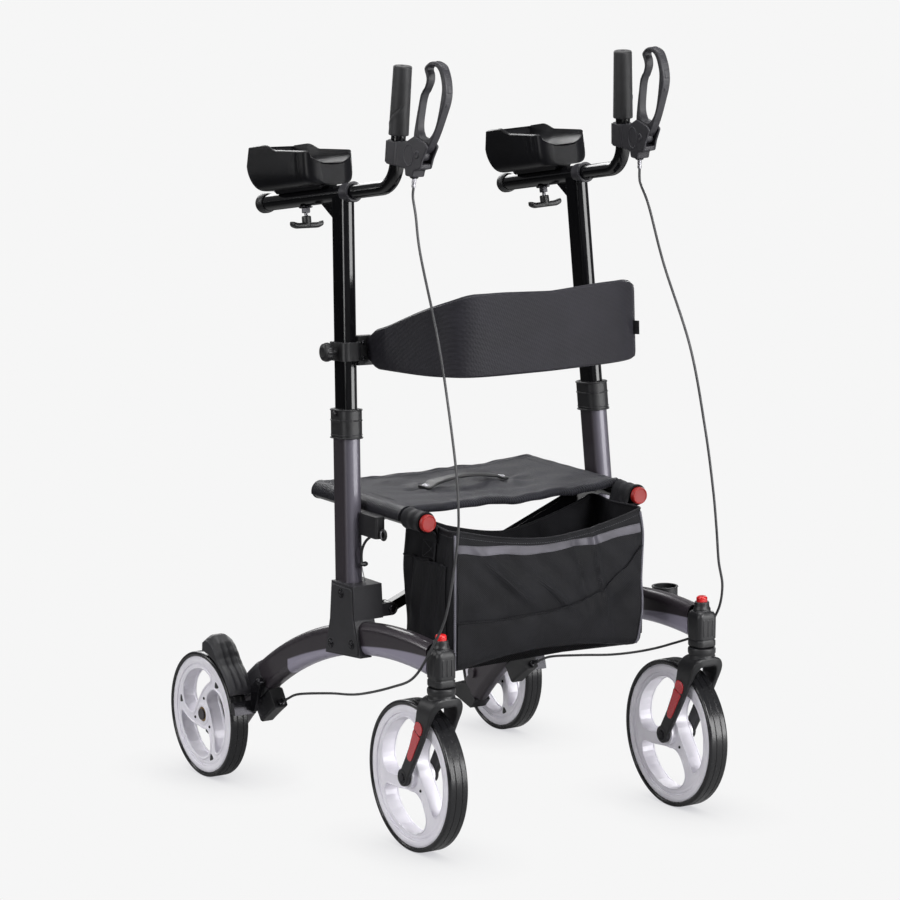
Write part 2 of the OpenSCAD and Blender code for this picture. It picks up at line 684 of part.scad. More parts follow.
module upper_post() {
  color("#121214") {
    difference() {
      union() {
        post_frame(upper_foot) linear_extrude(arm_h - upper_foot)
          rounded(upper_post_w, upper_post_d, upper_post_w * post_edge_share);
        arm_frame() {
          rod_y(arm_tube_d, -arm_tube_front, arm_tube_front + arm_tube_back);
          rod_y(arm_collar_d, -arm_tube_front, arm_collar_l);
          rod_y(arm_collar_d, arm_tube_back - arm_collar_l, arm_collar_l);
          translate([0, knob_back, -arm_tube_d / 2 - nut_h]) cylinder(d = nut_d, h = nut_h + tube_wall);
          side_plate(-gusset_t / 2, gusset_t) polygon([[0, -gusset_h], [upper_post_d / 2, -gusset_h],
            [upper_post_d / 2 + gusset_l, 0], [0, 0]]);
        }
      }
      post_frame(upper_foot - cut) linear_extrude(arm_h - upper_foot - arm_tube_d / 2)
        rounded(upper_post_w - 2 * tube_wall, upper_post_d - 2 * tube_wall,
          upper_post_w * post_edge_share - tube_wall);
      arm_frame() {
        rod_y(arm_bore_d, -arm_tube_front - cut, arm_tube_front + arm_tube_back - rail_cap_t);
        translate([0, knob_back, -arm_tube_d / 2 - nut_h - cut])
          cylinder(d = screw_d + 2 * running_gap, h = nut_h + tube_wall + cut);
      }
    }
  }
}

// wing height of the arm trough, and one section of it
function eased(t) = let (c = max(0, min(1, t))) c * c * (3 - 2 * c);
function wing(u) = pad_h * (1 + pad_rise_share * min(1, u / pad_step_shares[0]))
  + pad_hump * eased((u - pad_step_shares[0]) / (pad_step_shares[1] - pad_step_shares[0]));
function pad_half(u) = pad_w / 2 - pad_nose_r * (1 - sqrt(1 - pow(max(0, 1 - u * pad_l / pad_nose_r), 2)));
function pad_y(u, z) = pad_start + u * pad_l
  + pad_l * pad_rake_share * pow(max(0, 2 * u - 1), 2) * sin(180 * z / (1.2 * pad_top));
function scoop(x, u) = let (s = min(1, abs(x) / (pad_w / 2 - pad_wall)))
  pad_floor + (wing(u) - pad_floor) * (1 - sqrt(1 - s * s));
function trough_ring(u) = let (w = pad_half(u), h = scoop(w, u)) concat(
  [for (i = [-pad_m : pad_m]) let (x = w * sin(90 * i / pad_m), z = scoop(x, u)) [x, pad_y(u, z), z]],
  [for (i = [pad_m : -1 : -pad_m]) let (a = 90 * i / pad_m,
    z = h * (1 - pow(abs(cos(a)), pad_side_share)) * 0.98)
    [w * signed_pow(sin(a), pad_side_share), pad_y(u, z), z]]);

module trough_skin(rings) {
  n = len(rings[0]);
  m = len(rings);
  half = n / 2;
  walls = [for (k = [0 : m - 2], i = [0 : n - 1]) let (a = k * n + i, b = k * n + (i + 1) % n)
    each [[a, a + n, b], [b, a + n, b + n]]];
  low = [for (i = [0 : half - 2]) each [[i, i + 1, n - 2 - i], [i, n - 2 - i, n - 1 - i]]];
  high = [for (f = low) [for (p = [f[2], f[1], f[0]]) p + (m - 1) * n]];
  polyhedron([for (ring = rings, p = ring) p], concat(walls, low, high));
}

module arm_trough() {
  color("#1b1b1d") arm_frame() translate([0, 0, pad_lift]) {
    trough_skin([for (k = [0 : pad_n]) trough_ring(pow(k / pad_n, 1.4))]);
    difference() {
      translate([-pad_foot_w / 2, pad_start + pad_l * pad_foot_share, -pad_lift + arm_tube_d / 2 * 0.5])
        cube([pad_foot_w, pad_l * (1 - 2 * pad_foot_share), pad_lift - arm_tube_d / 4 + pad_wall / 2]);
      translate([0, 0, -pad_lift]) rod_y(arm_tube_d + 2 * soft_gap, 0, arm_tube_back);
    }
  }
}

module clamp_knob() {
  color("#161618") arm_frame() translate([0, knob_back, -arm_tube_d / 2 - knob_drop]) {
    translate([0, 0, -knob_hub_h]) cylinder(d = knob_hub_d, h = knob_hub_h);
    cylinder(d = screw_d, h = knob_drop + (arm_tube_d - handle_d) / 2 - soft_gap - running_gap);
    translate([0, 0, -knob_hub_h - knob_bar_h]) linear_extrude(knob_bar_h)
      rounded(knob_bar_l, knob_bar_w, knob_bar_w * post_edge_share);
  }
}

module handle_tube() {
  color("#121214") arm_frame() {
    rod_y(handle_d, -handle_reach + bend_tangent - cut, handle_reach - bend_tangent + cut + handle_tail);
    translate([0, -handle_reach + bend_tangent, handle_bend_r]) rotate([0, 90, 0])
      rotate([0, 0, -handle_bend]) rotate_extrude(angle = handle_bend)
        translate([handle_bend_r, 0]) circle(d = handle_d + 2 * running_gap);
    translate([0, -handle_reach, 0]) rotate([grip_rake, 0, 0]) translate([0, 0, bend_tangent - cut])
      cylinder(d = handle_d, h = grip_z + grip_l - bend_tangent + cut - handle_d / 2);
  }
}

module grip() {
  color("#2a2a2d") grip_frame() translate([0, 0, grip_z]) difference() {
    rotate_extrude() polygon(concat([[0, 0]],
      smooth_line([[grip_d * 0.47, 0], [grip_d * 0.475, grip_l * 0.12], [grip_d * 0.455, grip_l * 0.2],
        [grip_d * 0.48, grip_l * 0.34], [grip_d * 0.46, grip_l * 0.7], [grip_d * 0.5, grip_l * 0.97]], 4),
      [[grip_d * 0.47, grip_l], [0, grip_l]]));
    translate([0, 0, -cut]) cylinder(d = handle_d + 2 * fit_gap, h = grip_l - handle_d / 2 + cut + fit_gap);
  }
}

module lever_housing() {
  color("#3a393e") grip_frame() {
    difference() {
      union() {
        side_plate(-body_w / 2, body_w) polygon(scaled(body_shares, body_l, body_h));
        translate([0, 0, body_h * clamp_shares[0]])
          linear_extrude(body_h * (clamp_shares[1] - clamp_shares[0]))
            rounded(body_w * 1.22, band_clamp_d, handle_d * 0.2);
      }
      translate([0, 0, -cut]) cylinder(d = handle_d + 2 * fit_gap, h = body_h + 2 * cut);
      translate([0, -lever_reach, lever_z]) {
        rod_x(2 * lever_root_r + 2 * pass_gap, -lever_w / 2 - pass_gap, lever_w + 2 * pass_gap);
        translate([-lever_w / 2 - pass_gap, -body_l / 2, 0])
          cube([lever_w + 2 * pass_gap, body_l / 2 + lever_l * 0.52, body_h]);
      }
    }
    translate([0, -lever_reach, lever_z])
      rod_x(lever_pin_d, -body_w / 2, body_w);
    translate([0, body_l * spout_share, body_h * body_shares[2][1] - ferrule_l]) difference() {
      cylinder(d = ferrule_d, h = ferrule_l);
      translate([0, 0, -cut]) cylinder(d = cable_d + 2 * pass_gap, h = ferrule_l / 2 + cut);
    }
  }
}

module brake_lever() {
  color("#2d2c31") grip_frame() translate([0, -lever_reach, lever_z]) difference() {
    union() {
      side_plate(-lever_w / 2, lever_w) difference() {
        polygon(smooth_loop(scaled(lever_outer_shares, lever_l, lever_h), 3));
        polygon(smooth_loop(scaled(lever_inner_shares, lever_l, lever_h), 3));
      }
      rod_x(2 * lever_root_r, -lever_w / 2, lever_w);
    }
    rod_x(lever_pin_d + 2 * running_gap, -lever_w, 2 * lever_w);
  }
}

module brake_cable(route) {
  p = smooth_line(route, cable_steps);
  rings = [for (i = [0 : len(p) - 1]) let (t = unit(p[min(i + 1, len(p) - 1)] - p[max(i - 1, 0)]),
    u = unit(cross(t, [1, 0, 0])), v = cross(t, u))
    [for (k = [0 : cable_sides - 1]) p[i] + cable_d / 2 * (u * cos(360 * k / cable_sides)
      + v * sin(360 * k / cable_sides))]];
  color("#2b2b2d") skin(rings);
}

module caster_housing() {
  color("#2a292d") translate([frame_x, caster_y, housing_z]) difference() {
    union() {
      linear_extrude(housing_h) rounded(housing_w, housing_l, housing_w * 0.2);
      cylinder(d = neck_d, h = housing_h + neck_h);
    }
    translate([0, 0, -cut]) cylinder(d = stem_d + 2 * running_gap, h = stem_l + pass_gap + cut);
    translate([0, 0, housing_h - release_travel]) cylinder(d = release_d + 2 * running_gap, h = neck_h * 2);
  }
}

module release_button() {
  color("#d3202b") translate([frame_x, caster_y, neck_z]) rotate_extrude() polygon(concat(
    [[0, 0], [release_d / 2, 0]],
    [for (a = [0 : 15 : 90]) [release_d / 2 - release_d * 0.2 * (1 - cos(a)),
      neck_h + release_h - release_d * 0.2 * (1 - sin(a))]],
    [[0, neck_h + release_h]]));
}

module fork_leg_outline() {
  polygon([[-fork_top_w / 2, crown_z + crown_h * 0.6], [fork_top_w / 2, crown_z + crown_h * 0.6],
    [caster_trail + fork_foot_w / 2, front_r], [caster_trail - fork_foot_w / 2, front_r]]);
  translate([caster_trail, front_r]) circle(d = fork_foot_w);
}

module caster_fork() {
  color("#262529") translate([frame_x, caster_y, 0]) {
    for (s = [-1, 1])
      side_plate(s > 0 ? leg_in : -leg_out, fork_leg_t) fork_leg_outline();
    translate([0, 0, crown_z]) {
      linear_extrude(crown_h) rounded(2 * leg_out, fork_top_w, fork_top_w * 0.25);
      cylinder(d = fork_collar_d, h = crown_h + fork_collar_h);
      cylinder(d = stem_d, h = crown_h + fork_collar_h + pass_gap + stem_l);
    }
    translate([0, caster_trail, front_r]) rod_x(axle_d, -leg_out, 2 * leg_out);
  }
}

// one opening between two spokes, which turn as they run out
function opening(r0, r1, spoke, swirl) = [for (i = [0 : opening_n - 1]) let (
  t = 360 * i / opening_n,
  r = (r0 + r1) / 2 + signed_pow(sin(t), opening_share) * (r1 - r0) / 2,
  a = signed_pow(cos(t), opening_share) * (60 - asin(spoke / 2 / r)) + swirl * (r - r0) / (r1 - r0))
  [r * cos(a), r * sin(a)]];

module rim(r, w, hub_w, spoke, swirl) {
  rotate([0, 90, 0]) difference() {
    union() {
      rotate_extrude() translate([r - rim_ring_t, -w / 2]) square([rim_ring_t, w]);
      cylinder(r = r - rim_ring_t / 2, h = rim_web_t, center = true);
      cylinder(d = hub_d, h = hub_w, center = true);
    }
    cylinder(d = axle_d + 2 * running_gap, h = hub_w + 2 * cut, center = true);
    for (i = [0 : 2])
      rotate(120 * i) linear_extrude(w + 2 * cut, center = true)
        polygon(opening(hub_d * rim_lip_share + spoke / 4, r - rim_ring_t * 1.6, spoke, swirl));
  }
}

module tyre(r, w) {
  rotate([0, 90, 0]) rotate_extrude() difference() {
    translate([r - tyre_depth / 2, 0]) rounded(tyre_depth, w, tyre_depth * 0.45);
    for (s = [-1, 1])
      translate([r, s * w * 0.17]) circle(d = tyre_depth * 0.2);
  }
}

module front_rim() {
  color("#cfcdd6") translate([frame_x, front_y, front_r])
    rim(front_r - tyre_depth, front_tyre_w * 0.86, front_tyre_w + 2 * fork_side_gap - 2 * pass_gap,
      front_spoke_w, front_swirl);
}

module front_tyre() {
  color("#1d1d1f") translate([frame_x, front_y, front_r]) tyre(front_r, front_tyre_w);
}

module rear_rim() {
  color("#cfcdd6") translate([rear_x, rear_y, rear_r])
    rim(rear_r - tyre_depth, rear_tyre_w * 0.86, rear_hub_w, rear_spoke_w, rear_swirl);
}

module rear_tyre() {
  color("#1d1d1f") translate([rear_x, rear_y, rear_r]) tyre(rear_r, rear_tyre_w);
}

module rear_fender() {
  color("#2b2a2f") {
    rear_segment(fender_a) translate([fender_r, fender_in]) square([fender_t, fender_out - fender_in]);
    for (s = fender_rib_shares)
      rear_segment(fender_a) translate([fender_r + fender_t, fender_in + s * (fender_out - fender_in)])
        circle(fender_rib_r);
    rear_segment(fender_a) translate([hub_d, fender_in]) square([fender_r - hub_d + cut, fender_plate_t]);
    side_plate(fender_in, fender_out - fender_in) translate([rear_y, rear_r])
      polygon(smooth_loop([for (p = lobe_shares) polar(p[0] * (fender_r + fender_t), p[1])], 4));
  }
}

// underside of the arch, carrying the brake and the curb pedal
module rear_brake() {
  color("#1d1c20") {
    translate([frame_x, 0, 0]) arch_segment(brake_unit_a[0], brake_unit_a[1])
      translate([arch_r - arch_h / 2 - brake_unit_h / 2 - fit_gap, 0])
        rounded(brake_unit_h, brake_unit_w, arch_edge / 3);
    translate([0, arm_pivot[0], arm_pivot[1]])
      rod_x(arm_pin_d, arch_out + fit_gap, arm_in + arm_t - arch_out);
    end_a = arch_end_a;
    foot = [peak_y + (arch_r - arch_h / 2) * sin(end_a), arch_axis_z + (arch_r - arch_h / 2) * cos(end_a)];
    head = [peak_y + (arch_r + arch_h / 4) * sin(end_a), arch_axis_z + (arch_r + arch_h / 4) * cos(end_a)];
    along = fit_gap * [cos(end_a), -sin(end_a)];
    side_plate(arch_in, arch_w) {
      polygon([foot + along, head + along, [head[0] + pedal_l, foot[1] + arch_h * 0.3],
        [head[0] + pedal_l, foot[1]], [foot[0] + arch_h * 0.3, foot[1] - arch_h * 0.3]]);
      for (i = [1 : pedal_rib_n])
        translate([head[0] + pedal_l * i / pedal_rib_n - arch_h * 0.06, foot[1]
          + arch_h * (0.3 + 0.28 * (1 - i / pedal_rib_n))]) circle(arch_h * 0.06);
    }
  }
}

module brake_arm() {
  color("#a9a9ad") difference() {
    union() {
      side_plate(arm_in, arm_t) {
        translate(arm_pivot) circle(d = arm_pin_d * 2);
        polygon([arm_pivot - [arm_pin_d, 0], arm_pivot + arm_pin_d / 2 * [1, 1],
          on_axle(fender_r + fender_t + fender_rib_r + shoe_t, shoe_a[1] + 10),
          on_axle(shoe_r + shoe_t, shoe_a[1]),
          on_axle(shoe_r + shoe_t / 2, shoe_a[0]), on_axle(shoe_r + shoe_t * 1.7, shoe_a[0] + 2)]);
      }
      rear_segment(shoe_a) translate([shoe_r, arm_in])
        square([shoe_t, fender_out - arm_in]);
    }
    translate([0, arm_pivot[0], arm_pivot[1]]) rod_x(arm_pin_d + 2 * running_gap, arch_out, rear_x);
  }
}

module seat_rail() {
  color("#131315") translate([rail_x, 0, rail_z]) {
    difference() {
      rod_y(rail_d, rail_front + rail_cap_t, rail_l - 2 * rail_cap_t);
      rod_y(rail_d - 2 * rail_wall, rail_front, rail_l);
    }
    for (y = [rail_front, rail_front + rail_l - rail_cap_t])
      rod_y(rail_d, y, rail_cap_t);
  }
}

// link from a lower pivot up to the opposite rail's cradle
module cross_link(y) {
  translate([-pivot_x, y, pivot_z]) {
    rotate([0, -link_a, 0]) {
      rod_y(2 * ear_r, -link_t / 2, link_t);
      translate([0, -link_t / 2, -link_h / 2]) cube([link_l, link_t, link_h]);
    }
    translate([pivot_x + rail_x, 0, rail_z - pivot_z]) rod_y(2 * cradle_r, -link_t / 2, link_t);
  }
}

module link_cuts(y) {
  translate([-pivot_x, y, pivot_z]) rod_y(link_pin_d + 2 * running_gap, -link_t, 2 * link_t);
  translate([rail_x, y, rail_z]) {
    rod_y(rail_d + 2 * running_gap, -link_t, 2 * link_t);
    translate([-2 * cradle_r, -link_t, -rail_d * 0.12]) cube([4 * cradle_r, 2 * link_t, 2 * cradle_r]);
  }
}

module cross_link_a() {
  color("#101012") {
    difference() {
      cross_link(link_a_y);
      link_cuts(link_a_y);
    }
    translate([0, 0, pivot_z + link_mid * sin(link_a)]) {
      rod_y(link_pin_d, link_a_y - link_t / 2 - pass_gap, 2 * link_t + 2 * link_gap + 2 * pass_gap);
      rod_y(2 * link_pin_d, link_a_y - link_t / 2 - link_pin_d / 2, link_pin_d / 2);
      rod_y(2 * link_pin_d, link_b_y + link_t / 2 + pass_gap, link_pin_d / 2);
    }
  }
}

module cross_link_b() {
  color("#101012") mirror([1, 0, 0]) difference() {
    cross_link(link_b_y);
    link_cuts(link_b_y);
    translate([0, link_b_y, pivot_z + link_mid * sin(link_a)])
      rod_y(link_pin_d + 2 * running_gap, -link_t, 2 * link_t);
  }
}

// height of the slung cloth over the rails' axis
seat_wrap_r = rail_d / 2 + soft_gap;
seat_half = rail_x;
function sling(x, y) = let (u = x / seat_half, v = (y - seat_front) / seat_l)
  seat_wrap_r - seat_sag * (1 - u * u) * (0.65 + 0.35 * sin(180 * v));

module seat_cloth() {
  rows = [for (j = [0 : seat_m]) seat_front + seat_l * j / seat_m];
  rings = [for (y = rows) concat(
    [for (i = [0 : seat_n]) let (x = seat_half * (2 * i / seat_n - 1))
      [x, y, rail_z + sling(x, y) + seat_t]],
    [for (i = [seat_n : -1 : 0]) let (x = seat_half * (2 * i / seat_n - 1)) [x, y, rail_z + sling(x, y)]])];
  color("#333338") {
    trough_skin(rings);
    for (s = [-1, 1])
      translate([s * rail_x, 0, rail_z]) difference() {
        rod_y(2 * (seat_wrap_r + seat_t), seat_front, seat_l);
        rod_y(2 * seat_wrap_r, seat_front - cut, seat_l + 2 * cut);
        translate([-s * rail_d * 0.6 - rail_d * 0.6, seat_front - cut, -rail_d])
          cube([rail_d * 1.2, seat_l + 2 * cut, rail_d * 1.36]);
        translate([-rail_d, seat_front - cut, -2 * rail_d])
          cube([2 * rail_d, seat_l + 2 * cut, rail_d * 2.1]);
      }
  }
}

module seat_handle() {
  half = strap_span / 2 + strap_w / 2;
  color("#19191b") translate([0, strap_y, rail_z + sling(half, strap_y + strap_w) + seat_t + soft_gap]) {
    rotate([90, 0, 0]) linear_extrude(strap_w, center = true) polygon(concat(
      [for (i = [0 : 16]) let (u = i / 8 - 1)
        [u * half, strap_t + strap_rise * pow(max(0, cos(100 * u)), 1.5)]],
      [for (i = [16 : -1 : 0]) let (u = i / 8 - 1)
        [u * half, strap_rise * pow(max(0, cos(100 * u)), 1.5)]]));
    for (s = [-1, 1])
      translate([s * strap_span / 2, 0, strap_t]) cylinder(d = rivet_d, h = strap_t / 2);
  }
}

// outline of the bag at a height share, drawn in by the wall where it is the inside
function bag_ring(v, wall) = let (
  belly = 1 + 0.03 * sin(180 * v), z = bag_bottom + bag_h * v,
  half_l = bag_l / 2 * (0.9 + 0.1 * sin(150 * v)))
  [for (i = [0 : bag_n - 1]) let (t = 360 * i / bag_n)
    [(bag_half_w * belly * 0.97 - wall) * signed_pow(cos(t), bag_square_share),
     bag_front + bag_l / 2 + (half_l - wall) * signed_pow(sin(t), bag_square_share),
     z + bag_h * 0.06 * v * pow(abs(cos(t)), 2)]];

module storage_bag() {
  color("#19191b") {
    skin(concat([for (v = [0, 0.03, 0.25, 0.5, 0.75, 1]) bag_ring(v, v == 0 ? bag_l * 0.06 : 0)],
      [for (v = [1, 0.75, 0.5, 0.25, 0.04]) bag_ring(v, bag_t)]));
    for (s = [-1, 1])
      translate([s * rail_x, bag_loop_y - bag_loop_l / 2, rail_z]) difference() {
        union() {
          rod_y(rail_d + 2 * soft_gap + 2 * bag_t, 0, bag_loop_l);
          translate([s > 0 ? -(rail_x - bag_half_w * 0.93) : 0, 0, -rail_d * 1.1])
            cube([rail_x - bag_half_w * 0.93, bag_loop_l, bag_t]);
          translate([-bag_t / 2 - s * rail_d * 0.35, 0, -rail_d * 1.1])
            cube([bag_t, bag_loop_l, rail_d * 0.8]);
        }
        rod_y(rail_d + 2 * soft_gap, -cut, bag_loop_l + 2 * cut);
      }
  }
}

// backrest band: a padded strap that runs forward from one clamp, across, and back to the other
function band_mid(a) = [band_half_w * signed_pow(cos(a), band_square_share),
  band_root[1] - band_reach * pow(abs(sin(a)), band_square_share)];
function band_height(a) = band_end_h + (band_h - band_end_h) * pow(max(0, sin(a)), band_square_share);

module backrest_band() {
  rings = [for (k = [0 : band_n]) let (a = 180 * k / band_n, p = band_mid(a),
    q = band_mid(min(180, a + 2)) - band_mid(max(0, a - 2)), n = unit([q[1], -q[0]]),
    h = band_height(a), lift = band_h * band_lift_share * pow(max(0, sin(a)), band_square_share),
    lean = tan(lean_back) * pow(cos(a), 2))
    [for (i = [0 : 2 * band_m - 1]) let (t = 180 * i / band_m, z = lift + h / 2 * signed_pow(cos(t), 0.8),
      out = band_t / 2 * signed_pow(sin(t), 0.5))
      [p[0] + n[0] * out, p[1] + n[1] * out + lean * z, band_root[2] + z]]];
  color("#2f2f33") skin(rings);
}

module backrest_clamp() {
  color("#1a1a1c") post_frame(backrest_h) difference() {
    union() {
      linear_extrude(clamp_h, center = true)
        rounded(upper_post_w + 2 * clamp_wall, upper_post_d + 2 * clamp_wall, upper_post_w * post_edge_share);
      translate([-upper_post_w / 2 - clamp_wall - clamp_box_l / 2, 0, 0])
        linear_extrude(clamp_box_h, center = true) rounded(clamp_box_l + cut, clamp_box_w, clamp_box_w * 0.2);
    }
    linear_extrude(clamp_h + 2 * cut, center = true)
      rounded(upper_post_w + 2 * fit_gap, upper_post_d + 2 * fit_gap, upper_post_w * post_edge_share);
    rod_x(back_stem_d + 2 * running_gap, 0, upper_post_w * 2);
  }
}

module backrest_knob() {
  color("#161618") post_frame(backrest_h) translate([upper_post_w / 2 + fit_gap + pass_gap, 0, 0]) {
    rod_x(back_stem_d, 0, clamp_wall + back_stem_l);
    rod_x(back_knob_d, clamp_wall + back_stem_l, back_knob_l);
  }
}

module cane_cup() {
  color("#1a1a1c") difference() {
    union() {
      translate([arch_out + fit_gap + cup_d / 2, cup_y, cup_top - cup_h]) cylinder(d = cup_d, h = cup_h);
      translate([arch_out + fit_gap, cup_y - cup_d / 4, cup_top - cup_h])
        cube([cup_d / 4, cup_d / 2, cup_h * 0.8]);
    }
    translate([arch_out + fit_gap + cup_d / 2, cup_y, cup_top - cup_h + cup_wall])
      cylinder(d = cup_d - 2 * cup_wall, h = cup_h);
  }
}

module fold_lock() {
  lock_top = rail_z - rail_d * 0.1;
  lock_x = rail_x + cradle_r + pass_gap;
  lock_y = post_y - lower_post_d / 2 - lock_l + (rail_z - post_z) * sin(lean_back) - pass_gap;
  color("#232226") {
    translate([lock_x + lock_w / 2, lock_y + lock_l / 2, lock_top - lock_h]) linear_extrude(lock_h)
      rounded(lock_w, lock_l, lock_w * 0.25);
    translate([lock_x + lock_w / 2, lock_y - ring_r, lock_top - lock_h + ring_r]) rotate([0, 90, 0])
      rotate_extrude() translate([ring_r, 0]) circle(ring_wire);
  }
}

on(right) arch();  // arch_right
on(left) arch();  // arch_left
on(right) post_bracket(link_a_y);  // post_bracket_right
on(left) post_bracket(link_b_y);  // post_bracket_left
on(right) lower_post();  // lower_post_right
on(left) lower_post();  // lower_post_left
on(right) height_collar();  // height_collar_right
on(left) height_collar();  // height_collar_left
on(right) height_button();  // height_button_right
on(left) height_button();  // height_button_left
on(right) upper_post();  // upper_post_right
on(left) upper_post();  // upper_post_left
on(right) arm_trough();  // arm_trough_right
on(left) arm_trough();  // arm_trough_left
on(right) clamp_knob();  // clamp_knob_right
on(left) clamp_knob();  // clamp_knob_left
on(right) handle_tube();  // handle_tube_right
on(left) handle_tube();  // handle_tube_left
on(right) grip();  // grip_right
on(left) grip();  // grip_left
on(right) lever_housing();  // lever_housing_right
on(left) lever_housing();  // lever_housing_left
on(right) brake_lever();  // brake_lever_right
on(left) brake_lever();  // brake_lever_left
on(right) brake_cable(cable_right);  // brake_cable_right
on(left) brake_cable(cable_left);  // brake_cable_left
on(right) caster_housing();  // caster_housing_right
on(left) caster_housing();  // caster_housing_left
on(right) release_button();  // release_button_right
on(left) release_button();  // release_button_left
on(right) caster_fork();  // caster_fork_right
on(left) caster_fork();  // caster_fork_left
on(right) front_rim();  // front_rim_right
on(left) front_rim();  // front_rim_left
on(right) front_tyre();  // front_tyre_right
on(left) front_tyre();  // front_tyre_left
on(right) rear_rim();  // rear_rim_right
on(left) rear_rim();  // rear_rim_left
on(right) rear_tyre();  // rear_tyre_right
on(left) rear_tyre();  // rear_tyre_left
on(right) rear_fender();  // rear_fender_right
on(left) rear_fender();  // rear_fender_left
on(right) rear_brake();  // rear_brake_right
on(left) rear_brake();  // rear_brake_left
on(right) brake_arm();  // brake_arm_right
on(left) brake_arm();  // brake_arm_left
on(right) seat_rail();  // seat_rail_right
on(left) seat_rail();  // seat_rail_left
on(right) backrest_clamp();  // backrest_clamp_right
on(left) backrest_clamp();  // backrest_clamp_left
on(right) backrest_knob();  // backrest_knob_right
on(left) backrest_knob();  // backrest_knob_left
cross_link_a();
cross_link_b();
seat_cloth();
seat_handle();
storage_bag();
backrest_band();
cane_cup();
on(right) fold_lock();
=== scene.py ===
import math
import bpy
import bmesh
from mathutils import Matrix, Vector, noise


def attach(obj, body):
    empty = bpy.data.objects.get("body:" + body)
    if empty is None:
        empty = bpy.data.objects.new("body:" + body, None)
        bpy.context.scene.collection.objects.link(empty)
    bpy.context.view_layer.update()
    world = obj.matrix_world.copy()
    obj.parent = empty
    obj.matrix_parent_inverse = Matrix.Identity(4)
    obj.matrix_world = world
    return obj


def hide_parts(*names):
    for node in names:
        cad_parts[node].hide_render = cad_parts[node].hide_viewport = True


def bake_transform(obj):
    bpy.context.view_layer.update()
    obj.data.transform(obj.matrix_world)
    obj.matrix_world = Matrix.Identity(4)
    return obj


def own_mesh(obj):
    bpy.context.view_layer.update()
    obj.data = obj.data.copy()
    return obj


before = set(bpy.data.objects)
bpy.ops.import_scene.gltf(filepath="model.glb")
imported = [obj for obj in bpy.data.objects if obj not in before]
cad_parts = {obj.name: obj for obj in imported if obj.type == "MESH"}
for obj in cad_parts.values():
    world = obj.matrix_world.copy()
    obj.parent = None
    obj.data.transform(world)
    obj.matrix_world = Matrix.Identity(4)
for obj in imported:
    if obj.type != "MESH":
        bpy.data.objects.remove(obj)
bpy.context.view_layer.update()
scene = bpy.context.scene
mm = 0.001
sides = ((-1, "right"), (1, "left"))
print("frame loaded")


# placing, in millimetres, drawn for the left side
def shift(x, y, z):
    return Matrix.Translation((x, y, z))


def turn(axis, degrees):
    return Matrix.Rotation(math.radians(degrees), 4, axis)


here = Matrix()
postBase = shift(235.5, -77, 380) @ turn("Y", -2.22) @ turn("X", -4.13)
armBase = postBase @ shift(0, 0, 591) @ turn("Z", -2.5) @ turn("X", -5.7)
gripBase = armBase @ shift(0, -143, 0) @ turn("X", 13.3)
sidePlane = Matrix(((0, 0, 1, 0), (1, 0, 0, 0), (0, 1, 0, 0), (0, 0, 0, 1)))  # drawn in Y and Z, thick in X
toFront, toBack = turn("X", 90), turn("X", -90)  # where a lathe's axis points
toSide = turn("Y", 90)
faceTurn = {1: here, -1: turn("X", 180)}  # the outer and the inner face of a wheel or housing


# shapes: a list of points and a list of faces
def spow(value, power):
    return math.copysign(abs(value) ** power, value)


def gauss(distance, width):
    return math.exp(-(distance / width) ** 2)


def ease(low, high, value):
    t = min(1, max(0, (value - low) / (high - low)))
    return t * t * (3 - 2 * t)


def through(table, x, soft=0.5):  # a line through (x, value) pairs, softened at them
    if x <= table[0][0]:
        return table[0][1]
    for (x0, v0), (x1, v1) in zip(table, table[1:]):
        if x <= x1:
            t = (x - x0) / (x1 - x0)
            return v0 + (v1 - v0) * (ease(0, 1, t) * soft + t * (1 - soft))
    return table[-1][1]


def circle(count, wide=1.0, high=None):
    high = wide if high is None else high
    return [(wide * math.cos(a), high * math.sin(a)) for a in (math.tau * k / count for k in range(count))]


def roundRect(w, h, r, steps=6):
    points = []
    for cx, cy, start in ((1, 1, 0), (-1, 1, 90), (-1, -1, 180), (1, -1, 270)):
        for i in range(steps + 1):
            a = math.radians(start + 90 * i / steps)
            points.append((cx * (w / 2 - r) + r * math.cos(a), cy * (h / 2 - r) + r * math.sin(a)))
    return points


def softCorners(points, size):
    loop = []
    for i, p in enumerate(points):
        q, r, p = Vector(points[i - 1]), Vector(points[(i + 1) % len(points)]), Vector(p)
        a, b = (p + (far - p).normalized() * min(size, (far - p).length * 0.48) for far in (q, r))
        loop += [a * (1 - t) ** 2 + p * 2 * t * (1 - t) + b * t ** 2 for t in (k / 5 for k in range(6))]
    return loop


def smoothLine(points, steps, closed=False):
    p = [Vector(q) for q in points]
    n = len(p)
    line = []
    for i in range(n if closed else n - 1):
        a, b, c, d = (p[k % n] if closed else p[min(max(k, 0), n - 1)] for k in range(i - 1, i + 3))
        for k in range(steps):
            t = k / steps
            line.append((b * 2 + (c - a) * t + (a * 2 - b * 5 + c * 4 - d) * t * t
                         + (b * 3 - a - c * 3 + d) * t ** 3) / 2)
    return line if closed else line + [p[-1]]


def lengthOf(points):
    return sum((Vector(b) - Vector(a)).length for a, b in zip(points, points[1:]))


def spaced(points, count):  # the same line in equal steps
    p = [Vector(q) for q in points]
    far = [0]
    for a, b in zip(p, p[1:]):
        far.append(far[-1] + (b - a).length)
    line, k = [], 0
    for i in range(count):
        want = far[-1] * i / (count - 1)
        while k < len(p) - 2 and far[k + 1] < want:
            k += 1
        line.append(p[k].lerp(p[k + 1], (want - far[k]) / max(1e-9, far[k + 1] - far[k])))
    return line


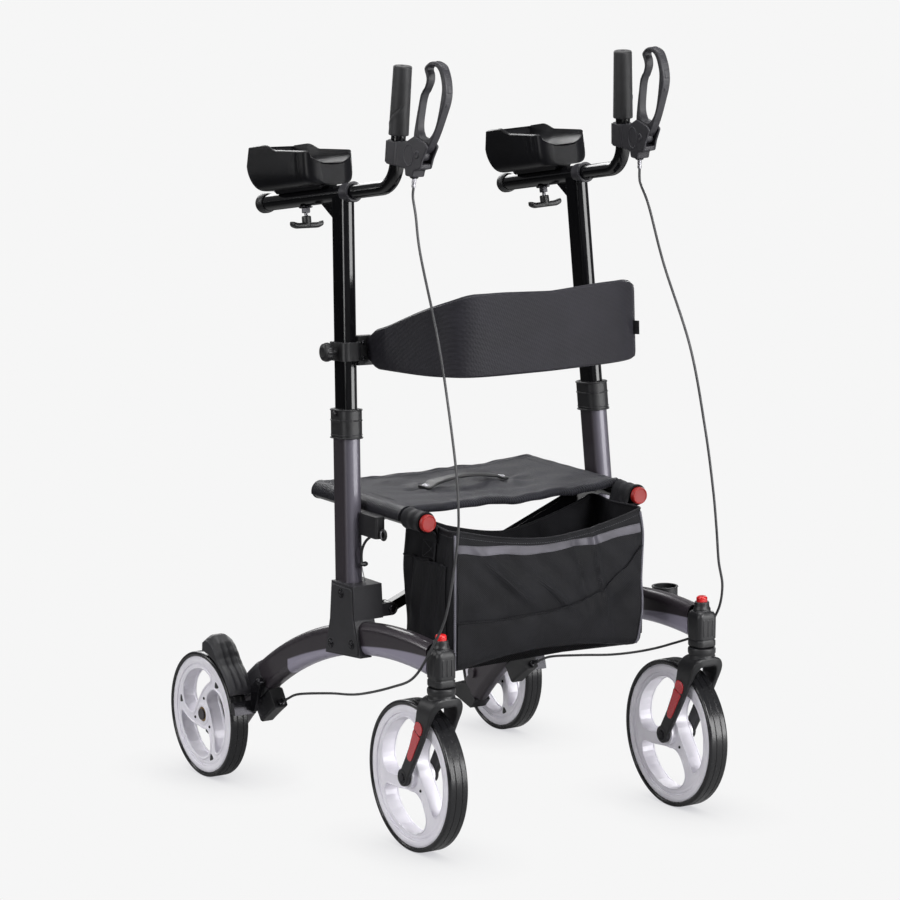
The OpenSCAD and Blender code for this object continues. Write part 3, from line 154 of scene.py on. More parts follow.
def loft(rings, loop=False):
    n, rows = len(rings[0]), len(rings)
    faces = []
    for k in range(rows if loop else rows - 1):
        a, b = k * n, (k + 1) % rows * n
        faces += [(a + i, a + (i + 1) % n, b + (i + 1) % n, b + i) for i in range(n)]
    if not loop:
        faces += [tuple(reversed(range(n))), tuple(range((rows - 1) * n, rows * n))]
    return [tuple(p) for ring in rings for p in ring], faces


def lathe(profile, count=48, flutes=0, deep=0.0, beyond=0.0):
    rings = []
    for r, z in profile:
        ring = []
        for i in range(count):
            a = math.tau * i / count
            cut = deep * (0.5 - 0.5 * math.cos(flutes * a)) if r > beyond else 0
            ring.append((max(0.01, r - cut) * math.cos(a), max(0.01, r - cut) * math.sin(a), z))
        rings.append(ring)
    return loft(rings)


def hoop(profile, count=96):  # a closed profile of (radius, height) turned right round
    return loft([[(r * c, r * s, z) for r, z in profile] for c, s in circle(count)], loop=True)


def sweep(path, radius, count=10, closed=False, wide=1.0):
    path = [Vector(p) for p in path]
    n = len(path)
    rings, normal = [], None
    for i, p in enumerate(path):
        along = path[(i + 1) % n] - path[i - 1] if closed else path[min(i + 1, n - 1)] - path[max(i - 1, 0)]
        along.normalize()
        normal = along.orthogonal() if normal is None else normal
        normal = (normal - along * normal.dot(along)).normalized()
        across = along.cross(normal)
        r = radius(i / (n - 1)) if callable(radius) else radius
        rings.append([p + (normal * c * wide + across * s) * r for c, s in circle(count)])
    return loft(rings, loop=closed)


def plate(loops, low, high, edge, steps=2):  # flat outlines with holes, thick along local Z, edges rounded
    data = bpy.data.curves.new("outline", "CURVE")
    data.dimensions, data.fill_mode = "2D", "BOTH"
    data.extrude, data.bevel_depth = (high - low) / 2 - edge, edge
    data.bevel_resolution, data.offset = steps, -edge
    for loop in loops:
        spline = data.splines.new("POLY")
        spline.points.add(len(loop) - 1)
        for point, p in zip(spline.points, loop):
            point.co = (p[0], p[1], 0, 1)
        spline.use_cyclic_u = True
    obj = bpy.data.objects.new("outline", data)
    scene.collection.objects.link(obj)
    bpy.context.view_layer.update()
    mesh = bpy.data.meshes.new_from_object(obj.evaluated_get(bpy.context.evaluated_depsgraph_get()))
    points = [(v.co.x, v.co.y, v.co.z + (low + high) / 2) for v in mesh.vertices]
    faces = [tuple(f.vertices) for f in mesh.polygons]
    bpy.data.objects.remove(obj)
    bpy.data.curves.remove(data)
    bpy.data.meshes.remove(mesh)
    return points, faces


def moved(shape, matrix):
    return [tuple(matrix @ Vector(p)) for p in shape[0]], shape[1]


def joined(*shapes):
    points, faces = [], []
    for p, f in shapes:
        faces += [tuple(i + len(points) for i in face) for face in f]
        points += p
    return points, faces


def stitches(path, pitch, length, radius):  # a row of short thread loops
    spots = spaced(path, max(2, int(lengthOf(path) / pitch)))
    made = []
    for a, b in zip(spots, spots[1:]):
        along = (b - a).normalized() * length / 2
        m = (a + b) / 2
        made.append(sweep([m - along, m - along * 0.6, m + along * 0.6, m + along],
                          lambda t: radius * (1 - 0.7 * abs(2 * t - 1) ** 3), 6))
    return joined(*made)


def dome(r, h, low=0.0):  # a rounded head on a flat seat, along local Z
    return [(r * 0.98, low), (r, low + h * 0.25), (r * 0.93, low + h * 0.6), (r * 0.72, low + h * 0.86),
            (r * 0.4, low + h * 0.97), (0, low + h)]


def piece(name, shape, look, body, place=here, side=1, hides=(), crease=42, slotName=None):
    spots = [place @ Vector(p) for p in shape[0]]
    mesh = bpy.data.meshes.new(name)
    mesh.from_pydata([(q.x * side * mm, q.y * mm, q.z * mm) for q in spots], [], shape[1])
    bm = bmesh.new()
    bm.from_mesh(mesh)
    bmesh.ops.remove_doubles(bm, verts=bm.verts, dist=3e-6)
    bmesh.ops.recalc_face_normals(bm, faces=bm.faces)
    bm.to_mesh(mesh)
    bm.free()
    for face in mesh.polygons:
        face.use_smooth = True
    mesh.set_sharp_from_angle(angle=math.radians(crease))
    mesh.materials.append(look)
    obj = bpy.data.objects.new(name, mesh)
    scene.collection.objects.link(obj)
    obj.modifiers.new("evenNormals", "WEIGHTED_NORMAL").keep_sharp = True
    if hides:
        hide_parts(*hides)
    if body:
        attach(obj, body)
    return obj


def twin(name, shape, look, body, place=here, hides=None, **more):  # one piece on each side
    return [piece(name + "_" + tag, shape, look, body + "_" + tag, place, side,
                  (hides + "_" + tag,) if hides else (), **more) for side, tag in sides]


# camera
view = {"at": (-3.63208, -5.75228, 1.80489), "azimuth": -32.2525, "elevation": 10.4874, "roll": -0.41636,
        "lens": 176.864, "sensor": 36, "end": 200}


def makeCamera():
    a, e, r = (math.radians(view[k]) for k in ("azimuth", "elevation", "roll"))
    right = Vector((math.cos(a), math.sin(a), 0))
    back = Vector((math.sin(a) * math.cos(e), -math.cos(a) * math.cos(e), math.sin(e)))
    up = back.cross(right)
    x = right * math.cos(r) + up * math.sin(r)
    y = up * math.cos(r) - right * math.sin(r)
    data = bpy.data.cameras.new("studioCamera")
    data.lens, data.sensor_width, data.clip_end = view["lens"], view["sensor"], view["end"]
    obj = bpy.data.objects.new("studioCamera", data)
    scene.collection.objects.link(obj)
    obj.matrix_world = Matrix((x, y, back)).transposed().to_4x4()
    obj.matrix_world.translation = view["at"]
    scene.camera = obj


makeCamera()
print("camera set")


# shader nodes
class Wire:
    def __init__(self, tree, socket=None):
        self.tree, self.socket = tree, socket

    def feed(self, made, inputs):
        for key, value in inputs.items():
            if isinstance(value, Wire):
                self.tree.links.new(value.socket, made.inputs[key])
            else:
                made.inputs[key].default_value = value

    def node(self, kind, settings=None, inputs=None, out=0):
        made = self.tree.nodes.new(kind)
        for key, value in (settings or {}).items():
            setattr(made, key, value)
        self.feed(made, inputs or {})
        return Wire(self.tree, None if out is None else made.outputs[out])

    def calc(self, operation, first, second=0.0):
        return self.node("ShaderNodeMath", {"operation": operation}, {0: first, 1: second})

    def __add__(self, other):
        return self.calc("ADD", self, other)

    def __radd__(self, other):
        return self.calc("ADD", other, self)

    def __sub__(self, other):
        return self.calc("SUBTRACT", self, other)

    def __rsub__(self, other):
        return self.calc("SUBTRACT", other, self)

    def __mul__(self, other):
        return self.calc("MULTIPLY", self, other)

    def __rmul__(self, other):
        return self.calc("MULTIPLY", other, self)

    def __truediv__(self, other):
        return self.calc("DIVIDE", self, other)

    def __rtruediv__(self, other):
        return self.calc("DIVIDE", other, self)

    def __pow__(self, other):
        return self.calc("POWER", self, other)

    def __rpow__(self, other):
        return self.calc("POWER", other, self)

    def sine(self):
        return self.calc("SINE", self)

    def root(self):
        return self.calc("SQRT", self)

    def step(self, low, high):
        return self.node("ShaderNodeMapRange", {"interpolation_type": "SMOOTHSTEP"},
                         {"Value": self, "From Min": low, "From Max": high})

    def between(self, first, second):  # two colours, mixed by this value
        return self.node("ShaderNodeMix", {"data_type": "RGBA"}, {0: self, 6: first, 7: second}, 2)

    def blotch(self, first, second):  # two colours in soft patches
        return self.step(0.3, 0.7).between(first, second)

    def about(self, middle, spread):  # this noise, moved round a middle value
        return middle + (self - 0.5) * spread

    def spot(self):
        return self.node("ShaderNodeTexCoord", out=3)

    def axis(self, which):
        return self.node("ShaderNodeSeparateXYZ", {}, {0: self}, "XYZ".index(which))

    def cloud(self, scale, detail=2.0, rough=0.5):
        return self.node("ShaderNodeTexNoise", {},
                         {"Vector": self, "Scale": scale, "Detail": detail, "Roughness": rough})

    def softEdge(self, radius):
        return self.node("ShaderNodeBevel", {"samples": 4}, {"Radius": radius * mm})

    def facing(self):  # the true normal
        return self.node("ShaderNodeNewGeometry", out=1)

    def bump(self, depth, strength=1.0, normal=None):  # depth in millimetres
        inputs = {"Strength": strength, "Distance": depth * mm, "Height": self}
        if normal:
            inputs["Normal"] = normal
        return self.node("ShaderNodeBump", {}, inputs)


def tone(r, g, b):  # screen values to linear light
    return tuple((c / 12.92 if c <= 0.04045 else ((c + 0.055) / 1.055) ** 2.4)
                 for c in (r / 255, g / 255, b / 255)) + (1.0,)


def finish(name, build):
    made = bpy.data.materials.new(name)
    made.use_nodes = True
    wire = Wire(made.node_tree)
    shader = next(n for n in made.node_tree.nodes if n.type == "BSDF_PRINCIPLED")
    wire.feed(shader, build(wire))
    return made


def moulded(look):  # plastics and paints: cloudy colour, fine grain, softened and worn edges
    def build(wire):
        place = wire.spot()
        patch = place.cloud(14, 3)
        grain = place.cloud(look["grain"], 2)
        edge = wire.softEdge(look["edge"])
        worn = 1 - wire.node("ShaderNodeVectorMath", {"operation": "DOT_PRODUCT"}, {0: edge, 1: wire.facing()}, 1)
        worn = (worn * patch * 9).step(0.15, 1.2) * 0.5
        colour = worn.between(patch.blotch(look["colour"], look["shade"]), look["worn"])
        return {"Base Color": colour, "Roughness": patch.about(look["rough"], look["vary"]),
                "Normal": grain.bump(look["depth"], 0.7, edge), **look.get("fixed", {})}
    return build


mouldedLooks = {
    "blackPaint": {"colour": tone(14, 14, 16), "shade": tone(11, 11, 13), "worn": tone(44, 44, 48), "rough": 0.1,
                   "vary": 0.05, "grain": 900, "depth": 0.05, "edge": 1.0,
                   "fixed": {"Specular IOR Level": 0.5, "Coat Roughness": 0.08}},
    "mouldedPlastic": {"colour": tone(40, 39, 43), "shade": tone(33, 33, 36), "worn": tone(84, 83, 90),
                       "rough": 0.48, "vary": 0.16, "grain": 1500, "depth": 0.12, "edge": 1.6},
    "trimPlastic": {"colour": tone(27, 27, 29), "shade": tone(21, 21, 23), "worn": tone(70, 70, 75),
                    "rough": 0.42, "vary": 0.16, "grain": 1300, "depth": 0.1, "edge": 1.3},
    "leverPlastic": {"colour": tone(43, 42, 47), "shade": tone(37, 36, 41), "worn": tone(98, 97, 104),
                     "rough": 0.44, "vary": 0.14, "grain": 1600, "depth": 0.1, "edge": 1.4},
    "buttonRed": {"colour": tone(205, 32, 34), "shade": tone(180, 24, 26), "worn": tone(235, 90, 88),
                  "rough": 0.28, "vary": 0.12, "grain": 700, "depth": 0.04, "edge": 0.8},
    "capRed": {"colour": tone(160, 28, 24), "shade": tone(132, 21, 18), "worn": tone(205, 70, 62), "rough": 0.4,
               "vary": 0.14, "grain": 900, "depth": 0.08, "edge": 0.8},
    "brightSteel": {"colour": tone(190, 189, 194), "shade": tone(165, 164, 170), "worn": tone(225, 225, 228),
                    "rough": 0.3, "vary": 0.2, "grain": 600, "depth": 0.05, "edge": 0.6,
                    "fixed": {"Metallic": 1.0}},
    "blackBolt": {"colour": tone(40, 39, 43), "shade": tone(32, 32, 35), "worn": tone(120, 119, 124),
                  "rough": 0.2, "vary": 0.12, "grain": 700, "depth": 0.06, "edge": 0.5,
                  "fixed": {"Metallic": 0.7}},
    "cableJacket": {"colour": tone(60, 60, 62), "shade": tone(42, 42, 44), "worn": tone(60, 60, 62),
                    "rough": 0.36, "vary": 0.12, "grain": 500, "depth": 0.05, "edge": 0.3},
    "washerBrass": {"colour": tone(176, 150, 112), "shade": tone(150, 124, 88), "worn": tone(214, 192, 156),
                    "rough": 0.34, "vary": 0.2, "grain": 500, "depth": 0.05, "edge": 0.4,
                    "fixed": {"Metallic": 1.0}}}
(blackPaint, mouldedPlastic, trimPlastic, leverPlastic, buttonRed, capRed, brightSteel, blackBolt, cableJacket,
 washerBrass) = (finish(name, moulded(look)) for name, look in mouldedLooks.items())
archLine = {"centre": (0.245, 0.4425), "radius": 0.7385, "curl": 0.28, "middle": 0.17, "stop": 0.33, "blur": 0.0015}


def metalFlake(dark, paleToneAndPaintedSheen, twoTone):  # satin metallic paint; the arch's underside is the lighter tone; on the posts, faces turned to the front are lightened towards it as a painted reflection
    def build(wire):
        place = wire.spot()
        patch = place.cloud(9, 3)
        flake = place.cloud(2600, 1)
        edge = wire.softEdge(1.0)
        colour = patch.blotch(dark, tuple(c * 0.86 for c in dark[:3]) + (1.0,))
        if twoTone:
            y, z = (place.axis(k) + c for k, c in zip("YZ", archLine["centre"]))
            low = (y * y + z * z).root()
            run = y - archLine["middle"]
            blur = archLine["blur"]
            under = (archLine["radius"] + run * run * archLine["curl"] - low).step(-blur, blur)
            colour = (under * (archLine["stop"] - y).step(-blur, blur)).between(colour, paleToneAndPaintedSheen)
        else:
            ahead = 0 - wire.facing().axis("Y")
            colour = ahead.step(0.3, 0.95).between(colour, paleToneAndPaintedSheen)  # painted reflection of the bright front: faces turned to the front take the lighter tone
        colour = (flake.step(0.62, 0.9) * 0.35).between(colour, paleToneAndPaintedSheen)
        return {"Base Color": colour, "Metallic": 0.35, "Roughness": patch.about(0.36, 0.12),
                "Coat Weight": 0.35, "Coat Roughness": 0.12, "Normal": flake.bump(0.03, 0.5, edge)}
    return build


def castSilver(wire):  # silver-painted cast rim with a turned face
    place = wire.spot()
    patch = place.cloud(22, 3)
    return {"Base Color": patch.blotch(tone(247, 245, 252), tone(236, 233, 242)), "Metallic": 0.06,
            "Roughness": patch.about(0.34, 0.14), "Coat Weight": 0.2, "Coat Roughness": 0.2,
            "Normal": place.cloud(1400, 2).bump(0.05, 0.6, wire.softEdge(0.9))}


def tyreRubber(wire):  # glossy tread, a little dusty
    place = wire.spot()
    dust = place.cloud(160, 4, 0.7)
    colour = (dust.step(0.5, 0.85) * 0.4).between(tone(27, 27, 29), tone(46, 45, 49))
    return {"Base Color": colour, "Roughness": place.cloud(30, 3).about(0.22, 0.2) + dust.step(0.5, 0.9) * 0.15,
            "Normal": place.cloud(700, 2).bump(0.1, 0.6, wire.softEdge(0.8))}


def skinFoam(wire):  # moulded foam with a leathery skin
    place = wire.spot()
    patch = place.cloud(20, 3)
    pores = wire.node("ShaderNodeTexVoronoi", {"feature": "DISTANCE_TO_EDGE"}, {"Vector": place, "Scale": 620})
    height = pores.step(0.0, 0.25) + place.cloud(300, 2) * 0.4
    return {"Base Color": patch.blotch(tone(21, 21, 24), tone(16, 16, 18)), "Roughness": patch.about(0.3, 0.1),
            "Specular IOR Level": 0.15, "Normal": height.bump(0.08, 0.4)}


def gripRubber(wire):
    place = wire.spot()
    patch = place.cloud(40, 3)
    return {"Base Color": patch.blotch(tone(27, 27, 30), tone(21, 21, 23)), "Roughness": patch.about(0.55, 0.2),
            "Sheen Weight": 0.1, "Normal": place.cloud(900, 3, 0.6).bump(0.25, 0.6)}


def reflectorRed(wire):  # red lens over rows of small prisms
    place = wire.spot()
    cells = wire.node("ShaderNodeTexVoronoi", {"distance": "CHEBYCHEV"},
                      {"Vector": place, "Scale": 420, "Randomness": 0.0})
    colour = cells.step(0.15, 0.6).between(tone(206, 52, 60), tone(150, 22, 32))
    return {"Base Color": colour, "Roughness": 0.16 + place.cloud(60) * 0.08, "Coat Weight": 0.8,
            "Coat Roughness": 0.05, "Normal": cells.bump(0.5, 0.6)}


def tapeGlow(wire):  # grey reflective tape, beaded
    place = wire.spot()
    beads = wire.node("ShaderNodeTexVoronoi", {}, {"Vector": place, "Scale": 900})
    patch = place.cloud(30, 3)
    return {"Base Color": patch.blotch(tone(72, 70, 78), tone(58, 56, 63)), "Metallic": 0.25,
            "Roughness": patch.about(0.42, 0.2), "Normal": beads.bump(0.12, 0.6)}


def threadGrey(wire):  # twisted sewing thread
    place = wire.spot()
    twist = ((place.axis("X") + place.axis("Y") + place.axis("Z")) * (math.tau / (0.8 * mm))).sine()
    # painted shade: the thread is darker in the grooves between its twisted strands
    colour = (twist * 0.5 + 0.5).between(tone(38, 38, 42), tone(66, 66, 72))
    return {"Base Color": colour, "Roughness": 0.6 + place.cloud(300) * 0.2, "Sheen Weight": 0.2,
            "Normal": twist.bump(0.1, 0.5)}


def wovenCloth(look):  # crossed threads along two directions, with puckered sheen
    def build(wire):
        place = wire.spot()
        x, y, z = (place.axis(k) for k in "XYZ")
        u = x + y if look["upright"] else x
        v = z if look["upright"] else y
        turnU, turnV = math.tau / (look["threadU"] * mm), math.tau / (look["threadV"] * mm)
        over = (u * turnU * 0.5).sine() * (v * turnV * 0.5).sine()
        rib = ((u + v * look["lean"]) * (math.tau / (look["pitch"] * mm))).sine()
        height = (u * turnU).sine() * look["warp"] + (v * turnV).sine() * look["weft"]
        height = height + over * look["cross"] + rib * look["rib"]
        patch = place.cloud(look["patch"], 4, 0.6)
        fuzz = place.cloud(1800, 2)
        # painted shade: the weave's hollows are darkened towards the shade colour
        tint = (height * 0.25 + 0.5 + (fuzz - 0.5) * 0.6).step(0.1, 0.95)
        colour = tint.between(look["shade"], look["colour"])
        colour = (patch.step(0.35, 0.75) * look["mottle"]).between(colour, look["worn"])
        return {"Base Color": colour, "Roughness": patch.about(look["rough"], 0.2),
                "Sheen Weight": look["sheen"], "Sheen Roughness": 0.35, "Sheen Tint": look["sheenTint"],
                "Specular IOR Level": look["gloss"],
                "Normal": (height + fuzz * 0.8 + patch * look["rumple"]).bump(look["depth"], 0.7)}
    return build


seatLook = {"upright": False, "threadU": 2.6, "threadV": 1.7, "warp": 0.25, "weft": 0.35, "cross": 0.5,
            "colour": tone(38, 38, 44), "shade": tone(12, 12, 14), "worn": tone(48, 48, 55), "mottle": 0.45,
            "patch": 26, "rough": 0.42, "sheen": 0.06, "sheenTint": tone(200, 200, 215), "rumple": 3.0,
            "depth": 0.6, "gloss": 0.17, "rib": 0.85, "lean": 0.9, "pitch": 4.4}
bagLook = {"upright": True, "threadU": 1.6, "threadV": 1.6, "warp": 0.4, "weft": 0.4, "cross": 0.8,
           "colour": tone(30, 30, 33), "shade": tone(14, 14, 16), "worn": tone(38, 38, 42), "mottle": 0.4,
           "patch": 18, "rough": 0.55, "sheen": 0.04, "sheenTint": tone(190, 190, 200), "rumple": 5.0,
           "depth": 0.3, "gloss": 0.16, "rib": 0.3, "lean": 1.0, "pitch": 3.0}
bandLook = {"upright": True, "threadU": 2.4, "threadV": 1.9, "warp": 0.12, "weft": 1.0, "cross": 0.25,
            "colour": tone(40, 39, 45), "shade": tone(22, 21, 25), "worn": tone(46, 45, 52), "mottle": 0.35,
            "patch": 16, "rough": 0.5, "sheen": 0.08, "sheenTint": tone(200, 200, 215), "rumple": 2.0,
            "depth": 0.22, "gloss": 0.22, "rib": 0.25, "lean": 0.35, "pitch": 3.4}
hemLook = dict(bagLook, colour=tone(31, 31, 34), shade=tone(14, 14, 16), threadU=2.2, threadV=0.9, weft=0.8)
pipeLook = dict(bagLook, colour=tone(112, 111, 120), shade=tone(84, 83, 90), worn=tone(124, 123, 131))
archPaint = finish("archPaint", metalFlake(tone(54, 48, 54), tone(160, 155, 173), True))
# posts: the lighter tone on their front faces is a painted reflection
postPaint = finish("postPaint", metalFlake(tone(60, 55, 61), tone(94, 91, 101), False))
silverRim = finish("silverRim", castSilver)
tyreBlack = finish("tyreBlack", tyreRubber)
troughSkin = finish("troughSkin", skinFoam)
gripBlack = finish("gripBlack", gripRubber)
reflectorLens = finish("reflectorLens", reflectorRed)
reflectTape = finish("reflectTape", tapeGlow)
threadCord = finish("threadCord", threadGrey)
seatWeave, bagWeave, bandFabric, hemTape, pipingGrey = (finish(name, wovenCloth(look)) for name, look in (
    ("seatWeave", seatLook), ("bagWeave", bagLook), ("bandFabric", bandLook), ("hemTape", hemLook),
    ("pipingGrey", pipeLook)))
print("finishes mixed")

# brake cables: the same route as the solids, split where it passes from the sliding post to the frame
cable = {"radius": 2.0, "sides": 10, "steps": 8, "split": 720, "slack": (985, 760), "slide": (690, 430),
         "exit": -47.36, "ferruleAt": 22.7,
         "first": [(203.0, -223.3, 1003.9), (203.4, -222.7, 995.3), (204.0, -221.9, 980.9)],
         "right": [(204.3, -229.9, 953.7), (206.7, -245.9, 898.1), (214.7, -303.7, 785.5), (220.8, -338.5, 700.5),
                   (226.9, -371.4, 600.6), (230.9, -384.3, 539.0), (234.9, -388.3, 498.1), (242.9, -386.1, 435.8),
                   (252.9, -380.0, 376.9), (260.1, -358.1, 334.0), (262.0, -307.9, 277.0), (257.0, -234.9, 246.0),
                   (250.0, -124.9, 212.0), (245.0, -31.1, 194.0), (241.0, 69.2, 171.9)],
         "left": [(204.3, -225.5, 970.4), (206.6, -243.8, 938.3), (211.7, -275.7, 853.9), (218.7, -335.6, 733.9),
                  (224.8, -366.4, 613.4), (228.9, -382.3, 520.9), (233.0, -386.2, 458.6), (238.9, -384.0, 406.4),
                  (251.0, -377.1, 364.1), (261.0, -349.9, 317.9), (262.0, -304.2, 276.0), (256.0, -228.2, 244.0),
                  (250.0, -163.0, 222.0), (248.0, -83.1, 201.0), (245.0, -3.0, 185.0), (241.0, 77.1, 168.0)],
         "last": [(238.9, 108.7, 156.3), (237.0, 134.0, 144.8)],
         "ferrule": [(2.1, -17.2), (2.9, -16.9), (3.2, -15.6), (3.2, -12.4), (2.8, -12), (2.8, -11), (3.2, -10.6),
                     (3.2, -1), (2.6, 0.6)],
         "barrel": [(2.1, -20), (2.9, -19.6), (3.2, -17), (3.2, -9), (2.7, -8.6), (2.7, -6.4), (5.0, -6), (5.4, -5),
                    (5.4, 0.5), (5.0, 1.2), (3.4, 1.6), (3.4, 6)]}


def inMetres(points, side=1):
    return [(p[0] * side * mm, p[1] * mm, p[2] * mm) for p in points]


def brakeCable(side, tag):
    path = smoothLine(cable["first"] + cable[tag] + cable["last"], cable["steps"])
    cut = min(range(len(path)), key=lambda i: abs(path[i][2] - cable["split"]))
    for part, line, first, second, levels in (("upper", path[:cut + 1], "handle_", "upper_", cable["slack"]),
                                              ("lower", path[cut:], "upper_", "frame_", cable["slide"])):
        obj = piece("cable_" + part + "_" + tag, sweep(line, cable["radius"], cable["sides"]), cableJacket, None,
                    side=side, hides=("brake_cable_" + tag,))
        metres = inMetres(line, side)
        start, end = (min(metres, key=lambda p: abs(p[2] - z * mm)) for z in levels)
        first + tag
        second + tag
        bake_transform(obj)


def cableEnds():
    twin("cable_ferrule", lathe(cable["ferrule"], 32), brightSteel, "handle",
         gripBase @ shift(0, cable["exit"], cable["ferruleAt"]))
    a, b = (Vector(p) for p in cable["last"])
    tip = Matrix.Translation(b) @ (b - a).to_track_quat("Z", "Y").to_matrix().to_4x4()
    twin("cable_barrel", lathe(cable["barrel"], 40, 20, 0.5, 4.5), blackBolt, "frame", tip)


for side, tag in sides:
    brakeCable(side, tag)
cableEnds()
print("cables run")

# carried-over solids and their finishes; the rest is trim plastic
carried = {"arch": archPaint, "post_bracket": mouldedPlastic, "lower_post": postPaint, "upper_post": blackPaint,
           "handle_tube": blackPaint, "lever_housing": leverPlastic, "release_button": buttonRed,
           "front_rim": silverRim, "front_tyre": tyreBlack, "rear_rim": silverRim, "rear_tyre": tyreBlack,
           "brake_arm": blackBolt, "seat_rail": blackPaint, "cross_link_a": blackPaint, "cross_link_b": blackPaint}
for name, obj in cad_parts.items():
    look = carried.get(name.removesuffix("_right").removesuffix("_left"), trimPlastic)
    if not obj.material_slots:
        obj.data.materials.append(look)
    for holder in obj.material_slots:
        holder.material = look
print("solids painted")

# wheels: lips round the openings, rolled rim edges, hub caps and bolts
wheels = {
    "front": {"at": (237, -275.5, 116), "ring": 108, "deep": 14.2, "web": 11.5, "spoke": 17, "swirl": 24,
              "lip": 1.3, "boltRing": 31, "boltTurn": 65},
    "rear": {"at": (279.5, 290, 101.5), "ring": 93.5, "deep": 13.3, "web": 11.5, "spoke": 13, "swirl": 42,
             "lip": 2.1, "boltRing": 27, "boltTurn": 69},
    "spokes": (0, 120, 240), "hubCore": 18.7, "opening": 17.6, "pocket": (100, 70.5, 11.25),
    "roll": [(0.2, -4), (0.2, -0.8), (1.2, 0.5), (3, 0.9), (6.5, 0.8), (9.4, 0.1), (11.2, -1.6), (11.9, -3.4),
             (10, -4.5)],
    "well": [(11.5, -1), (12.5, 0.7), (14.6, 1.1), (16.4, 0.5), (16.9, -1)],
    "hub": [(17.4, -1), (17.2, 1.2), (15.8, 2), (13, 2), (12, 1), (12, -1)],
    "washer": [(6, 10.2), (11.2, 10.4), (11.8, 11.2), (11.6, 12.2), (10.6, 12.8), (6, 12.8)],
    "cap": [(9.4, 12.2), (9.4, 14), (8.8, 15), (7.4, 15.4), (5.2, 15.4), (4.8, 14.2), (0, 14.1)]}


def opening(r0, r1, spoke, swirl, count=80):
    loop = []
    for c, s in circle(count):
        r = (r0 + r1) / 2 + spow(s, 0.55) * (r1 - r0) / 2
        a = spow(c, 0.55) * (60 - math.degrees(math.asin(spoke / 2 / r))) + swirl * (r - r0) / (r1 - r0)
        loop.append((r * math.cos(math.radians(a)), r * math.sin(math.radians(a)), 0))
    return loop


def wheelTrim(kind):
    w = wheels[kind]
    base, body, web = shift(*w["at"]) @ toSide, kind + "_wheel", w["web"]
    loop = opening(wheels["hubCore"] + w["spoke"] / 4, w["ring"] - wheels["opening"], w["spoke"], w["swirl"])
    flat = spaced(loop + loop[:1], 97)[:-1]
    hoops = [([(w["ring"] - r, w["deep"] + z) for r, z in wheels["roll"]], 96),
             ([(w["ring"] - r, web + z) for r, z in wheels["well"]], 96),
             ([(r, web + z) for r, z in wheels["hub"]], 48)]
    lips, bolts = [], []
    for face in (1, -1):
        for a in wheels["spokes"]:
            lips.append(moved(sweep(flat, w["lip"], 8, closed=True), turn("Z", a) @ shift(0, 0, face * (web - 0.2))))
            b = math.radians(a + w["boltTurn"])
            spot = shift(w["boltRing"] * math.cos(b), w["boltRing"] * math.sin(b), face * web)
            bolts.append(moved(lathe(dome(2.4, 1.6), 16), spot @ faceTurn[face]))
        lips += [hoop([(r, face * z) for r, z in profile], count) for profile, count in hoops]
    twin(kind + "_rim_lips", joined(*lips), silverRim, body, base)
    twin(kind + "_rim_bolts", joined(*bolts), blackBolt, body, base)


def rearHub():
    base = shift(*wheels["rear"]["at"]) @ toSide
    twin("hub_washer", hoop(wheels["washer"], 40), washerBrass, "rear_wheel", base)
    twin("hub_cap", lathe(wheels["cap"], 6), blackBolt, "frame", base, crease=25, slotName="black_plastic")
    ahead, far, out = wheels["pocket"]  # painted shade: thin dark plates stand for the shadow in the hollows at the outer ends of the spokes
    pocketShadow = plate([smoothLine([(-5.5, -1.5), (3.4, -6.5), (4.2, 5.5)], 8, closed=True)], -0.5, 0.5, 0.3, 1)
    made = [moved(pocketShadow, turn("Z", a + ahead) @ shift(far, 0, face * out))
            for face in (1, -1) for a in wheels["spokes"]]
    twin("spoke_pocket_shadows", joined(*made), trimPlastic, "rear_wheel", base)


wheelTrim("front")
wheelTrim("rear")
rearHub()
print("wheels trimmed")

# caster: arched fork, stem collar, reflectors, axle bolts and housing
fork = {"stem": (237, -343), "axle": (67.5, 116), "top": 245.4, "foot": 27, "wide": 44, "legX": 24.5, "leg": 8.2,
        "crown": 14, "lens": (-0.6, 1.5, 0.7), "lensAt": (4.1, 28, 184), "blockSize": (34, 36, 8), "ribs": 297,
        "legs": [(24.5, 116), (24.5, 140), (24.5, 165), (24.5, 190), (24.5, 207), (24.4, 219), (23.6, 228),
                 (21.4, 236), (17.4, 241.6), (12, 244), (6, 244.6), (0, 244.8)],
        "eye": [(0, -4.3), (12.2, -4.3), (13.4, -3.4), (13.8, -1.5), (13.8, 1.5), (13.4, 3.4), (12.2, 4.3),
                (9.6, 4.5), (9.2, 3.2), (0, 3.2)],
        "collar": [(0, 237), (20.4, 237.4), (21, 240), (21, 251), (20.2, 253.4), (20.2, 255), (21.4, 256.4),
                   (21.6, 262), (20.8, 264.6), (19, 265.2), (7.2, 265.4), (7, 300), (0, 300)],
        "washer": [(7.8, -0.4), (8.6, 0), (8.4, 0.8), (5, 1.0), (0, 1.0)],
        "capLens": [(-9.4, 13), (-10.4, 20), (-8.6, 26.4), (0, 29.8), (8.6, 26.4), (10.4, 20), (9.6, 13), (0, 11.6)],
        "longLens": [(-9.6, 9.2), (-9.2, 0), (-7.6, -22), (-5.8, -38), (0, -41.5), (5.8, -38), (7.6, -22), (9.2, 0),
                     (9.6, 9.2), (0, 10)],
        "block": [(265.6, 2.4), (266.6, 0.8), (268.5, 0), (276, 0), (277, 0.9), (279, 0.9), (280, 0), (312, -0.4),
                  (317, 0.2), (321, 2.2), (323, 5), (323.8, 8), (311, 8)],
        "neck": [(11.6, 320), (13.6, 322.5), (13.4, 326), (12, 328), (11.4, 331), (11.4, 335), (10.8, 336.4),
                 (8.7, 336.6), (8.6, 311)]}
forkBase = shift(*fork["stem"], 0)


